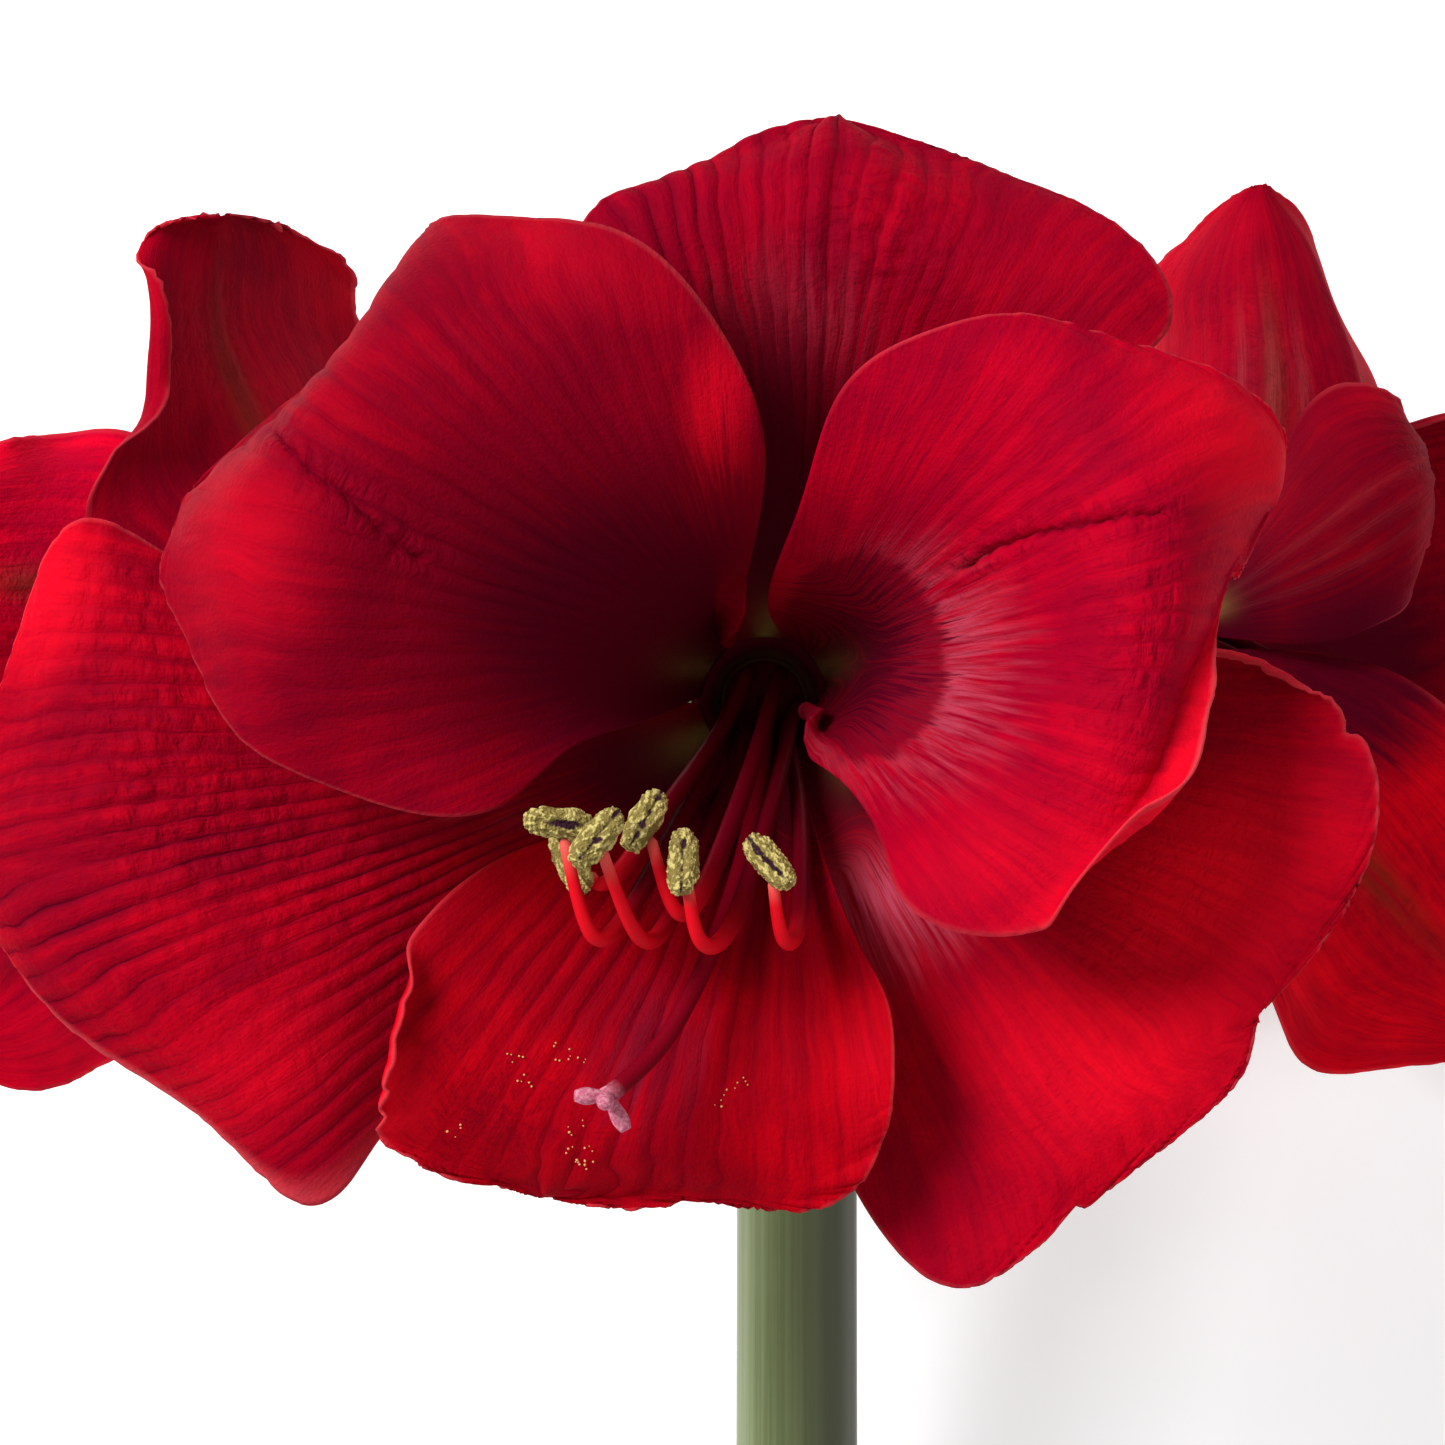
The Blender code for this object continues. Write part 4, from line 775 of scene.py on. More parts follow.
def furrow_depth(grid, points, width):
    """How deep each point lies in a furrow through points of the picture, with a fine zigzag along it."""
    across, down = picture(grid)
    zigzag = 3.0 * np.abs((across / 9.0) % 2.0 - 1.0)
    depth = np.zeros_like(across)
    for (start_across, start_down), (end_across, end_down) in zip(points, points[1:]):
        length = math.hypot(end_across - start_across, end_down - start_down)
        way_across = (end_across - start_across) / length
        way_down = (end_down - start_down) / length
        run = (across - start_across) * way_across + (down - start_down) * way_down
        off = (down - start_down) * way_across - (across - start_across) * way_down
        outside = np.maximum(0.0, np.maximum(-run, run - length))
        depth = np.maximum(depth, bell(np.hypot(off - zigzag, outside), 0.0, width))
    return depth


def picture_guides(petal):
    """Edges and midrib of a petal that has its guide lines on the picture."""
    return [[seen(*point) for point in petal[line]] for line in ("edge_a", "midrib", "edge_b")]


def mouth_stations(azimuth, inner, mouth_radius):
    """Where a side bloom's petal starts on the mouth of its tube: one edge, the middle, the other."""
    turn = np.radians(azimuth + PETAL_HALF_TURN * np.array((1.0, 0.0, -1.0)))
    radius = mouth_radius - (INNER_STEP if inner else 0.0)
    height = np.full(3, INNER_STEP if inner else 0.0)
    return np.stack((radius * np.cos(turn), radius * np.sin(turn), height), -1)


def curved_petal_guides(petal, start):
    """Edges and midrib of a side bloom's petal, from its azimuth, length, width, flare and roll."""
    stations = 9
    step = np.linspace(0.0, 1.0, stations)
    angle = np.radians(petal["flare"] + (petal["roll"] - petal["flare"]) * step**1.4)
    stride = petal["length"] / (stations - 1)
    middle_angle = (angle[1:] + angle[:-1]) / 2.0
    radial = np.concatenate(([0.0], np.cumsum(np.sin(middle_angle) * stride)))
    axial = np.concatenate(([0.0], np.cumsum(np.cos(middle_angle) * stride)))
    azimuth = math.radians(petal["azimuth"])
    outward = np.array((math.cos(azimuth), math.sin(azimuth), 0.0))
    sideways = np.array((-math.sin(azimuth), math.cos(azimuth), 0.0))
    axis = np.array((0.0, 0.0, 1.0))
    midrib = start[1] + radial[:, None] * outward + axial[:, None] * axis
    forward = np.sin(angle)[:, None] * axis - np.cos(angle)[:, None] * outward
    mouth_half = np.linalg.norm(start[0] - start[2]) / 2.0
    swell = np.sin(math.pi * step**1.4)**0.6
    half = mouth_half * (1.0 - step) + (petal["width"] / 2.0 - mouth_half * 0.4) * swell
    cup = np.radians(petal["cup"][0] + (petal["cup"][1] - petal["cup"][0]) * step)
    cup[0] = MOUTH_CUP
    lift = (np.sin(cup) * half)[:, None] * forward
    spread = (np.cos(cup) * half)[:, None] * sideways
    edge_a = midrib + lift + spread
    edge_b = midrib + lift - spread
    return edge_a[:-1], midrib, edge_b[:-1]


def side_petal_guides(petal, inner, bloom, mouth_radius):
    """Edges and midrib of a side bloom's petal in the umbel's frame, drawn or worked out."""
    starts = mouth_stations(petal["azimuth"], inner, mouth_radius)
    if "midrib" not in petal:
        return [into_umbel(line, bloom) for line in curved_petal_guides(petal, starts)]
    drawn = [into_umbel(line, BLOOMS["front"]) for line in picture_guides(petal)]
    return [np.vstack((start, line)) for start, line in zip(into_umbel(starts, bloom), drawn)]


def bloom_axes(bloom):
    """The bloom's own right, up and facing directions, as rows."""
    facing = unit(bloom["facing"])
    right = unit(np.cross((0.0, 1.0, 0.0), facing))
    return np.array((right, np.cross(facing, right), facing))


def into_umbel(points, bloom):
    """Points of a bloom's own frame in the umbel's frame: across, up and towards the eye."""
    return np.asarray(points, float) @ bloom_axes(bloom) + np.array(bloom["mouth"])


def lay_down(points):
    """Points of the umbel's frame on the floor: leaned back, with the floor at height zero."""
    x, y, z = np.moveaxis(np.asarray(points, float), -1, 0)
    lean_cos = math.cos(LYING_TILT)
    lean_sin = math.sin(LYING_TILT)
    return np.stack((x + LYING_ACROSS,
                     y * lean_cos - z * lean_sin + LYING_ALONG,
                     y * lean_sin + z * lean_cos + FLOOR_DEPTH), -1)


def on_floor(points, bloom):
    """Points of a bloom's own frame where they lie on the floor."""
    return lay_down(into_umbel(points, bloom))


def ring_frames(path):
    """For each point of a path, two directions square to it that don't twist along the way."""
    way = unit(np.gradient(path, axis=0))
    helper = np.array((0.0, 1.0, 0.0)) if abs(way[0, 1]) < 0.8 else np.array((1.0, 0.0, 0.0))
    first = [unit(np.cross(way[0], helper))]
    for direction in way[1:]:
        first.append(unit(first[-1] - direction * np.dot(first[-1], direction)))
    first = np.array(first)
    return first, np.cross(way, first)


def tube_rings(path, radii, sides, lobes=None):
    """Rings of points round a path. Lobes, if given, swell each ring's radius three times round."""
    first, second = ring_frames(path)
    turn = np.linspace(0.0, 2.0 * math.pi, sides, endpoint=False)
    swell = np.ones((len(path), sides))
    if lobes is not None:
        swell += np.asarray(lobes)[:, None] * np.cos(3.0 * turn)[None, :]
    reach = (np.asarray(radii)[:, None] * swell)[:, :, None]
    round_first = np.cos(turn)[None, :, None] * first[:, None, :]
    round_second = np.sin(turn)[None, :, None] * second[:, None, :]
    return path[:, None, :] + reach * (round_first + round_second)


def finer(values, count):
    """A row of numbers read on its natural cubic curve at count + 1 even steps."""
    return spline(np.asarray(values, float)[:, None], count)[:, 0]


def new_object(name, data):
    """An object in the scene that shows a mesh, a camera or a light."""
    item = bpy.data.objects.new(name, data)
    bpy.context.scene.collection.objects.link(item)
    return item


def new_piece(name, points, quads, triangles, attributes, uv, material):
    """One object from points in millimetres, four-sided and three-sided faces and point attributes."""
    mesh = bpy.data.meshes.new(name)
    corners = np.concatenate((np.ravel(quads), np.ravel(triangles))).astype(np.int32)
    sizes = np.concatenate((np.full(len(quads), 4), np.full(len(triangles), 3)))
    starts = np.concatenate(([0], np.cumsum(sizes)[:-1])).astype(np.int32)
    mesh.vertices.add(len(points))
    mesh.loops.add(len(corners))
    mesh.polygons.add(len(sizes))
    mesh.vertices.foreach_set("co", (np.asarray(points) * MM).astype(np.float32).ravel())
    mesh.loops.foreach_set("vertex_index", corners)
    mesh.polygons.foreach_set("loop_start", starts)
    mesh.update(calc_edges=True)
    for label, values in attributes.items():
        layer = mesh.attributes.new(label, "FLOAT", "POINT")
        layer.data.foreach_set("value", np.asarray(values, np.float32).ravel())
    layer = mesh.uv_layers.new(name="surface")
    layer.data.foreach_set("uv", np.asarray(uv, np.float32)[corners].ravel())
    mesh.shade_smooth()
    mesh.validate()
    mesh.materials.append(material)
    return new_object(name, mesh)


def place_piece(piece, slot, *nodes):
    """Let a piece ride on the stem and stand for its solids. The slot is not used."""
    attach(piece, ROOT)
    if nodes:
        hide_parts(*nodes)


def leaf_piece(name, grid, thickness, attributes, material):
    """A closed leaf from its middle surface: a front, a back and a rim. back is 1 on the back face.

    A place that would sink into the floor is raised onto it and keeps its thickness.
    """
    across, along = grid.shape[:2]
    count = across * along
    offset = surface_normals(grid) * (thickness / 2.0)[..., None]
    front = grid + offset
    back = grid - offset
    top_is_front = front[..., 2] > back[..., 2]
    front[..., 2] = np.maximum(front[..., 2], np.where(top_is_front, thickness, 0.0))
    back[..., 2] = np.maximum(back[..., 2], np.where(top_is_front, 0.0, thickness))
    points = np.concatenate((front.reshape(-1, 3), back.reshape(-1, 3)))
    number = np.arange(count).reshape(across, along)
    face = np.stack((number[:-1, :-1], number[1:, :-1], number[1:, 1:], number[:-1, 1:]), -1)
    face = face.reshape(-1, 4)
    rim = np.concatenate((number[:-1, 0], number[-1, :-1], number[:0:-1, -1], number[0, :0:-1]))
    rim_next = np.roll(rim, -1)
    rim_face = np.stack((rim, rim + count, rim_next + count, rim_next), 1)
    quads = np.concatenate((face, face[:, ::-1] + count, rim_face))
    u, v = parameters(grid)
    uv = np.stack(((u + 1.0) / 2.0, v), -1).reshape(-1, 2)
    values = {label: np.tile(value.ravel(), 2) for label, value in attributes.items()}
    values["back"] = np.repeat((0.0, 1.0), count)
    no_triangles = np.zeros((0, 3), int)
    return new_piece(name, points, quads, no_triangles, values, np.tile(uv, (2, 1)), material)


def tube_body(rings):
    """Points, quads, end triangles and (round, along) coordinates of a closed body over rings."""
    count, sides = rings.shape[:2]
    number = np.arange(count * sides).reshape(count, sides)
    beside = np.roll(number, -1, axis=1)
    quads = np.stack((number[:-1], beside[:-1], beside[1:], number[1:]), -1).reshape(-1, 4)
    first_pole = count * sides
    start = np.stack((beside[0], number[0], np.full(sides, first_pole)), -1)
    end = np.stack((number[-1], beside[-1], np.full(sides, first_pole + 1)), -1)
    points = np.concatenate((rings.reshape(-1, 3), rings[0].mean(0)[None], rings[-1].mean(0)[None]))
    round_share = np.tile(np.linspace(0.0, 1.0, sides), (count, 1))
    along_share = np.repeat(np.linspace(0.0, 1.0, count)[:, None], sides, axis=1)
    uv = np.concatenate((np.stack((round_share, along_share), -1).reshape(-1, 2), ((0.5, 0.0), (0.5, 1.0))))
    return points, quads, np.concatenate((start, end)), uv


def with_along(body, change):
    """A closed body on which the place along it is replaced by what a function makes of it."""
    points, quads, triangles, uv = body
    return points, quads, triangles, np.column_stack((uv[:, 0], change(uv[:, 1])))


def join_bodies(name, bodies, material):
    """One object from several closed bodies. Its along attribute runs from 0 to 1 on each body."""
    points, quads, triangles, uvs = [], [], [], []
    count = 0
    for body_points, body_quads, body_triangles, body_uv in bodies:
        points.append(body_points)
        quads.append(body_quads + count)
        triangles.append(body_triangles + count)
        uvs.append(body_uv)
        count += len(body_points)
    uv = np.concatenate(uvs)
    return new_piece(name, np.concatenate(points), np.concatenate(quads), np.concatenate(triangles),
                     {"along": uv[:, 1]}, uv, material)


def shade(tree, kind, inputs=None, **settings):
    """Add a node, set its own settings, and fill its inputs with values or other nodes' outputs."""
    node = tree.nodes.new(kind)
    for key, value in settings.items():
        setattr(node, key, value)
    for key, value in (inputs or {}).items():
        if isinstance(value, bpy.types.NodeSocket):
            tree.links.new(value, node.inputs[key])
        else:
            node.inputs[key].default_value = value
    return node


def tint(colour):
    """A colour with full opacity."""
    return (*colour, 1.0)


def mixed(tree, share, low, high, blend_type="MIX"):
    """The colour between two colours, low where the share is 0 and high where it is 1."""
    node = shade(tree, "ShaderNodeMix", data_type="RGBA", blend_type=blend_type)
    for index, value in ((0, share), (6, low), (7, high)):
        if isinstance(value, bpy.types.NodeSocket):
            tree.links.new(value, node.inputs[index])
        else:
            node.inputs[index].default_value = value
    return node.outputs[2]


def worked(tree, operation, first, second=0.0):
    """The result of an operation on one or two numbers."""
    return shade(tree, "ShaderNodeMath", {0: first, 1: second}, operation=operation).outputs[0]


def times(tree, first, *others):
    """The product of numbers."""
    for other in others:
        first = worked(tree, "MULTIPLY", first, other)
    return first


def plus(tree, first, second):
    """The sum of two numbers."""
    return worked(tree, "ADD", first, second)


def minus(tree, first, second):
    """The first number less the second."""
    return worked(tree, "SUBTRACT", first, second)


def layered(tree, colour, layers):
    """A colour with others laid over it one after another, each by its share."""
    for share, over in layers:
        colour = mixed(tree, share, colour, tint(over))
    return colour


def ranged(tree, value, low, high):
    """Zero where the value is below low, one above high, and an S curve between them."""
    node = shade(tree, "ShaderNodeMapRange", {"Value": value, "From Min": low, "From Max": high},
                 interpolation_type="SMOOTHSTEP")
    return node.outputs["Result"]


def attribute(tree, label):
    """The value of one of the piece's own attributes."""
    return shade(tree, "ShaderNodeAttribute", attribute_name=label).outputs["Fac"]


def own_surface(tree):
    """The piece's own surface coordinates, across or round it and along it, from 0 to 1."""
    return shade(tree, "ShaderNodeUVMap", uv_map="surface").outputs["UV"]


def own_place(tree):
    """The place on the object, in metres."""
    return shade(tree, "ShaderNodeTexCoord").outputs["Object"]


def stretched_noise(tree, coordinates, scale, detail, seed_shift=0.0):
    """Noise from 0 to 1, stretched by a different scale on each axis."""
    mapping = shade(tree, "ShaderNodeMapping", {"Vector": coordinates, "Scale": scale,
                                                "Location": (seed_shift, seed_shift, seed_shift)})
    noise = shade(tree, "ShaderNodeTexNoise", {"Vector": mapping.outputs[0], "Scale": 1.0,
                                               "Detail": detail, "Roughness": 0.6})
    return noise.outputs["Fac"]


def even_noise(tree, scale, detail, seed_shift=0.0):
    """Noise from 0 to 1 on the object, as fine each way."""
    return stretched_noise(tree, own_place(tree), (scale, scale, scale), detail, seed_shift)


def grains(tree, scale):
    """How far each place on the object is from the middle of the grain that it lies in."""
    cells = shade(tree, "ShaderNodeTexVoronoi", {"Vector": own_place(tree), "Scale": scale})
    return cells.outputs["Distance"]


def new_material(name, roughness, specular=0.5):
    """A material with an empty node tree apart from its shader and output."""
    material = bpy.data.materials.new(name)
    material.use_nodes = True
    tree = material.node_tree
    shader = tree.nodes["Principled BSDF"]
    shader.inputs["Roughness"].default_value = roughness
    shader.inputs["Specular IOR Level"].default_value = specular
    return material, tree, shader


def let_light_through(shader, weight, radius, scale):
    """Let a part of the light through the skin, further in the colours that have a larger radius."""
    shader.inputs["Subsurface Weight"].default_value = weight
    shader.inputs["Subsurface Radius"].default_value = radius
    shader.inputs["Subsurface Scale"].default_value = scale


def finish_skin(tree, shader, colour, height, strength, distance, **settings):
    """Give a shader its colour, and a bump of a height in parts of a distance in metres."""
    tree.links.new(colour, shader.inputs["Base Color"])
    bump = shade(tree, "ShaderNodeBump", {"Height": height, "Strength": strength, "Distance": distance},
                 **settings)
    tree.links.new(bump.outputs["Normal"], shader.inputs["Normal"])


def vein_depths(tree, rib, distance):
    """How deep the veins between the ribs are sunk, and the seams between the puckers of a rib."""
    own_rib = times(tree, worked(tree, "FLOOR", rib), 7.3)
    in_rib = shade(tree, "ShaderNodeCombineXYZ", {"X": rib, "Y": distance, "Z": own_rib}).outputs[0]
    ridge = worked(tree, "ABSOLUTE", worked(tree, "SINE", times(tree, rib, math.pi)))
    vein = minus(tree, 1.0, worked(tree, "POWER", ridge, 0.55))
    pucker = stretched_noise(tree, in_rib, (1.1, 0.55, 1.0), 2.0)
    seam = minus(tree, 1.0, ranged(tree, pucker, 0.30, 0.62))
    return times(tree, vein, attribute(tree, "veined")), times(tree, seam, ridge, attribute(tree, "quilt"))


def petal_material(name, settings, look, shift):
    """Petal velvet: red ribs between dark sunk veins, puckered, dark in the throat, with painted sheen beside
    it.

    The attributes rib and distance place the ribs and the puckers, and the others say how strong each
    tint is. dark and dark_edge are depths: 0 on the outline of the dark throat, negative outside it. That
    dark is partly the throat's own maroon and partly painted shade, glow is painted light and mauve is
    painted sheen.
    """
    material, tree, shader = new_material(name, 0.6, 0.012)
    rib = attribute(tree, "rib")
    distance = attribute(tree, "distance")
    on_rib = shade(tree, "ShaderNodeCombineXYZ", {"X": rib, "Y": distance, "Z": shift}).outputs[0]
    vein, seam = vein_depths(tree, rib, distance)
    # Painted shade in part: the sunk veins, the seams between puckers and the fold over the midrib take the
    # vein red, besides the veins' own darker red
    sunk = plus(tree, times(tree, vein, 1.2), times(tree, seam, 0.45))
    sunk = worked(tree, "MAXIMUM", sunk, times(tree, attribute(tree, "crease"), 0.7))
    pleats = stretched_noise(tree, on_rib, (7.0, 0.25, 1.0), 3.0)
    teeth = stretched_noise(tree, on_rib, (2.4, 0.05, 1.0), 4.0, 6.0)
    wide_streaks = stretched_noise(tree, on_rib, (2.1, 0.025, 1.0), 4.0)
    fine_streaks = stretched_noise(tree, own_surface(tree), (170.0, 7.0, 1.0), 3.0, shift + 3.0)
    mottle = even_noise(tree, 55.0, 3.0, shift)
    lively = plus(tree, times(tree, wide_streaks, 0.45), times(tree, mottle, 0.55))
    feather = times(tree, minus(tree, wide_streaks, 0.5), 0.9)
    feather = plus(tree, feather, times(tree, minus(tree, teeth, 0.5), 3.6))
    # Painted light: glow lightens the red where light comes through or falls on the petal
    glow = times(tree, attribute(tree, "glow"), plus(tree, 0.75, times(tree, feather, 0.3)))
    # Painted sheen: the mauve tint beside the throat
    painted_sheen = times(tree, attribute(tree, "mauve"), plus(tree, 0.75, feather))
    # The dark throat: partly its own maroon, partly painted shade in the deep bowl
    outline = plus(tree, attribute(tree, "dark_edge"), feather)
    depth = plus(tree, attribute(tree, "dark"), times(tree, feather, look["toothed"]))
    back = attribute(tree, "back")
    olive = times(tree, back, attribute(tree, "streak"), ranged(tree, wide_streaks, 0.25, 0.55))
    striped = times(tree, back, attribute(tree, "stripes"), ranged(tree, fine_streaks, 0.30, 0.60))
    # Painted light and shade: the look's tone makes this petal's reds lighter or darker for the light on it
    reds = [tint(np.array(red) * look["painted_light_tone"]) for red in (settings.red, settings.bright_red)]
    colour = layered(tree, mixed(tree, ranged(tree, lively, 0.40, 0.64), *reds), (
        (worked(tree, "MINIMUM", sunk, 0.9), settings.vein_red),
        (times(tree, ranged(tree, pleats, 0.50, 0.72), 0.22), settings.vein_red),
        (glow, settings.painted_light_red),
        (times(tree, ranged(tree, painted_sheen, 0.05, 0.95), 0.8), settings.mauve),
        (times(tree, ranged(tree, outline, -0.40, 0.40), 0.9), settings.deep_red),
        (times(tree, ranged(tree, depth, 0.08, 0.8), 0.95), settings.maroon),
        (attribute(tree, "star"), settings.star_green),
        (olive, settings.back_streak),
        (striped, settings.stripe_pink),
        (attribute(tree, "edge"), settings.edge_sheen_pink)))
    let_light_through(shader, 0.10, (1.0, 0.02, 0.03), 0.0012)
    height = times(tree, plus(tree, vein, seam), -0.9)
    fine = plus(tree, times(tree, pleats, 0.45), times(tree, even_noise(tree, 1500.0, 3.0), 0.5))
    finish_skin(tree, shader, colour, plus(tree, height, fine), 0.8, 0.0005)
    return material


def finish_petal(name, grid, look, seed, attributes, settings, material):
    """Give a blade its edges, ribs and puckers, lay it on the floor and make it a leaf of its thickness."""
    grid = shape_margins(grid, look, seed + MARGIN_SEED)
    for roll in look["rolls"]:
        grid = roll_margin(grid, *roll)
    u, v = parameters(grid)
    height, vein_attributes = petal_relief(grid, look, seed)
    placed = lay_down(grid)
    placed = placed + surface_normals(placed) * height[..., None]
    thick = settings.thickness / MM
    thin = settings.margin_thickness / MM
    thickness = thick + (thin - thick) * smooth_step(np.maximum(np.abs(u), v**6), 0.5, 1.0)
    # Painted sheen: a thin pale line on every edge, and paler stretches where the look gives them
    painted_edge_sheen = 0.4 * smooth_step(np.abs(u), 0.985, 1.0) * smooth_step(v, 0.3, 0.5)
    for side, centre, spread, width, share in look["pale"]:
        pale = share * smooth_step(side * u, 1.0 - width, 1.0) * bell(v, centre, spread)
        painted_edge_sheen = np.maximum(painted_edge_sheen, pale)
    attributes = dict(attributes, **vein_attributes, edge=painted_edge_sheen)
    return leaf_piece(name, placed, thickness, attributes, material)


def front_petal_grid(name, settings):
    """The middle surface of a front petal with its ruffled edges, in the umbel's frame."""
    index = list(FRONT_PETALS).index(name)
    grid = blade(*picture_guides(FRONT_PETALS[name]), FRONT_CELLS)
    ruffled = ruffle(grid, settings.ruffle_height / MM, FRONT_WAVES, FRONT_PHASE * index)
    return into_umbel(ruffled, BLOOMS["front"])


def front_tints(grid, look, inner):
    """How strong each tint of a front petal is at each point, for its material."""
    u, v = parameters(grid)
    # The dark throat is partly its own maroon and partly painted shade in the deep bowl
    *throat, edge_softness, softness = look["dark"]
    dark = patch_depth(grid, throat, softness)
    # Painted shade: the veil darkens a place away from the throat
    if look["painted_shade_veil"]:
        *painted_shade_veil, strength = look["painted_shade_veil"]
        dark = np.maximum(dark, strength * patch_depth(grid, painted_shade_veil, SHADE_SOFTNESS))
    rolled = np.zeros_like(u)
    for side, start, _, _, (low, high) in look["rolls"]:
        rolled += smooth_step(side * u, start, start + 0.10) * bell(v, (low + high) / 2.0, (high - low) / 2.0)
    # Painted light: the glow patches, and the lip glow on the rolled margins
    glows = [patch_tint(grid, glow, GLOW_SOFTNESS) for glow in look["glows"]]
    glows.append(look["lip_glow"] * rolled * (v > 0.3))
    # dark and dark_edge are the dark throat, partly painted shade; mauve is painted sheen; glow is painted
    # light
    return {
        "dark": dark - 2.0 * rolled,
        "dark_edge": patch_depth(grid, throat, edge_softness) - 2.0 * rolled,
        "mauve": patch_tint(grid, look["mauve"], MAUVE_SOFTNESS),
        "glow": np.max(glows, axis=0),
        "streak": bell(u, 0.0, 0.16) * (1.0 - smooth_step(v, 0.5, 0.95)),
        "stripes": np.zeros_like(u),
        "star": (0.5 if inner else 0.9) * bell(u, 0.0, 0.35) * bell(v, 0.0, 0.08),
    }


class AMARYLLIS_OT_front_petals(bpy.types.Operator):
    """Build the six petals of the bloom that faces the eye"""
    bl_idname = "amaryllis.front_petals"
    bl_label = "Front petals"

    def execute(self, context):
        settings = context.scene.amaryllis_petals
        for index, name in enumerate(FRONT_PETALS):
            look = dict(PLAIN_LOOK, **FRONT_LOOKS[name])
            grid = front_petal_grid(name, settings)
            tints = front_tints(grid, look, name.endswith("inner"))
            material = petal_material(f"front_{name}_velvet", settings, look, FRONT_SHIFT * index)
            seed = FRONT_SEED * index
            piece = finish_petal(f"front_{name}_petal", grid, look, seed, tints, settings, material)
            place_piece(piece, "petal", f"front_petal_{name}")
        return {"FINISHED"}


def side_tints(grid, look):
    """How strong each tint of a side petal is at each point, for its material."""
    u, v = parameters(grid)
    # Partly painted shade: the shade patch darkens the petal where the blooms shade each other
    shaded = patch_depth(grid, look["shade"], SHADE_SOFTNESS) if look["shade"] else -1.0
    stripes = sum(bell(u, place, STRIPE_SPREAD) for place in STRIPE_PLACES)
    olive = look["olive"] * bell(u, 0.0, 0.11) * (1.0 - smooth_step(v, 0.45, 0.9))
    # dark is the dark foot, partly painted shade, and the shade patch; glow is painted light on the outer
    # parts towards the tip; mauve tints the foot of striped backs
    return {
        "dark": np.maximum(1.0 - 4.0 * v, shaded),
        "dark_edge": 1.0 - 3.5 * v,
        "glow": 0.35 * smooth_step(np.abs(u), 0.6, 1.0) * smooth_step(v, 0.4, 0.8),
        "mauve": 0.6 * look["stripes"] * (1.0 - smooth_step(v, 0.1, 0.5)),
        "streak": olive * (1.0 - look["stripes"]),
        "stripes": look["stripes"] * stripes * (1.0 - smooth_step(v, 0.45, 0.8)),
        "star": 0.6 * bell(u, 0.0, 0.35) * bell(v, 0.0, 0.05),
    }


class AMARYLLIS_OT_side_petals(bpy.types.Operator):
    """Build the petals of the left and right blooms"""
    bl_idname = "amaryllis.side_petals"
    bl_label = "Side petals"

    def execute(self, context):
        settings = context.scene.amaryllis_petals
        mouth_radius = context.scene.amaryllis_stem.mouth_radius / MM
        for bloom_name, petals in (("left", LEFT_PETALS), ("right", RIGHT_PETALS)):
            for index, (name, petal) in enumerate(petals.items()):
                full_name = f"{bloom_name}_{name}"
                inner = name.endswith("inner")
                guides = side_petal_guides(petal, inner, BLOOMS[bloom_name], mouth_radius)
                cells = SIDE_CELLS if "midrib" in petal else HIDDEN_CELLS
                grid = ruffle(blade(*guides, cells), *SIDE_WAVES, SIDE_PHASE * index)
                look = dict(PLAIN_LOOK, crease=SIDE_CREASE, **SIDE_LOOKS.get(full_name, {}))
                tints = side_tints(grid, look)
                material = petal_material(f"{full_name}_velvet", settings, look, SIDE_SHIFT * index)
                seed = SIDE_FIRST_SEED + SIDE_SEED * index
                piece = finish_petal(f"{full_name}_petal", grid, look, seed, tints, settings, material)
                place_piece(piece, "petal", f"{bloom_name}_petal_{name}")
        return {"FINISHED"}


def scape_axis(settings):
    """The top and the cut end of the scape's axis, on the floor. The cut's lower rim rests on it."""
    top = lay_down(UMBEL_POINT)
    length = settings.scape_length / MM
    radius = settings.scape_radius_cut / MM
    slope = math.asin(top[2] / math.hypot(length, radius)) - math.atan2(radius, length)
    way = np.array((0.0, -math.cos(slope), -math.sin(slope)))
    return top, top + way * length


def scape_material(settings):
    """Smooth green skin, lighter and darker in long streaks, with a thin waxy bloom and pale flesh."""
    material, tree, shader = new_material("scape_skin", 0.38, 0.5)
    surface = own_surface(tree)
    streaks = stretched_noise(tree, surface, (34.0, 1.4, 1.0), 4.0)
    fine = stretched_noise(tree, surface, (140.0, 5.0, 1.0), 3.0, 4.0)
    share = plus(tree, times(tree, streaks, 0.7), times(tree, fine, 0.3))
    light, dark = tint(settings.light_green), tint(settings.dark_green)
    # The flank layer is painted shade: the right side darker, away from the light
    colour = layered(tree, mixed(tree, ranged(tree, share, 0.36, 0.62), dark, light), (
        (times(tree, ranged(tree, even_noise(tree, 60.0, 3.0), 0.45, 0.75), 0.25), settings.light_green),
        (attribute(tree, "flank"), settings.flank_shade_green)))
    flesh = mixed(tree, ranged(tree, grains(tree, 900.0), 0.12, 0.3), light, tint(settings.cut_green))
    colour = mixed(tree, attribute(tree, "cut"), colour, flesh)
    let_light_through(shader, 0.1, (0.6, 1.0, 0.3), 0.002)
    finish_skin(tree, shader, colour, share, 0.12, 0.0003)
    return material


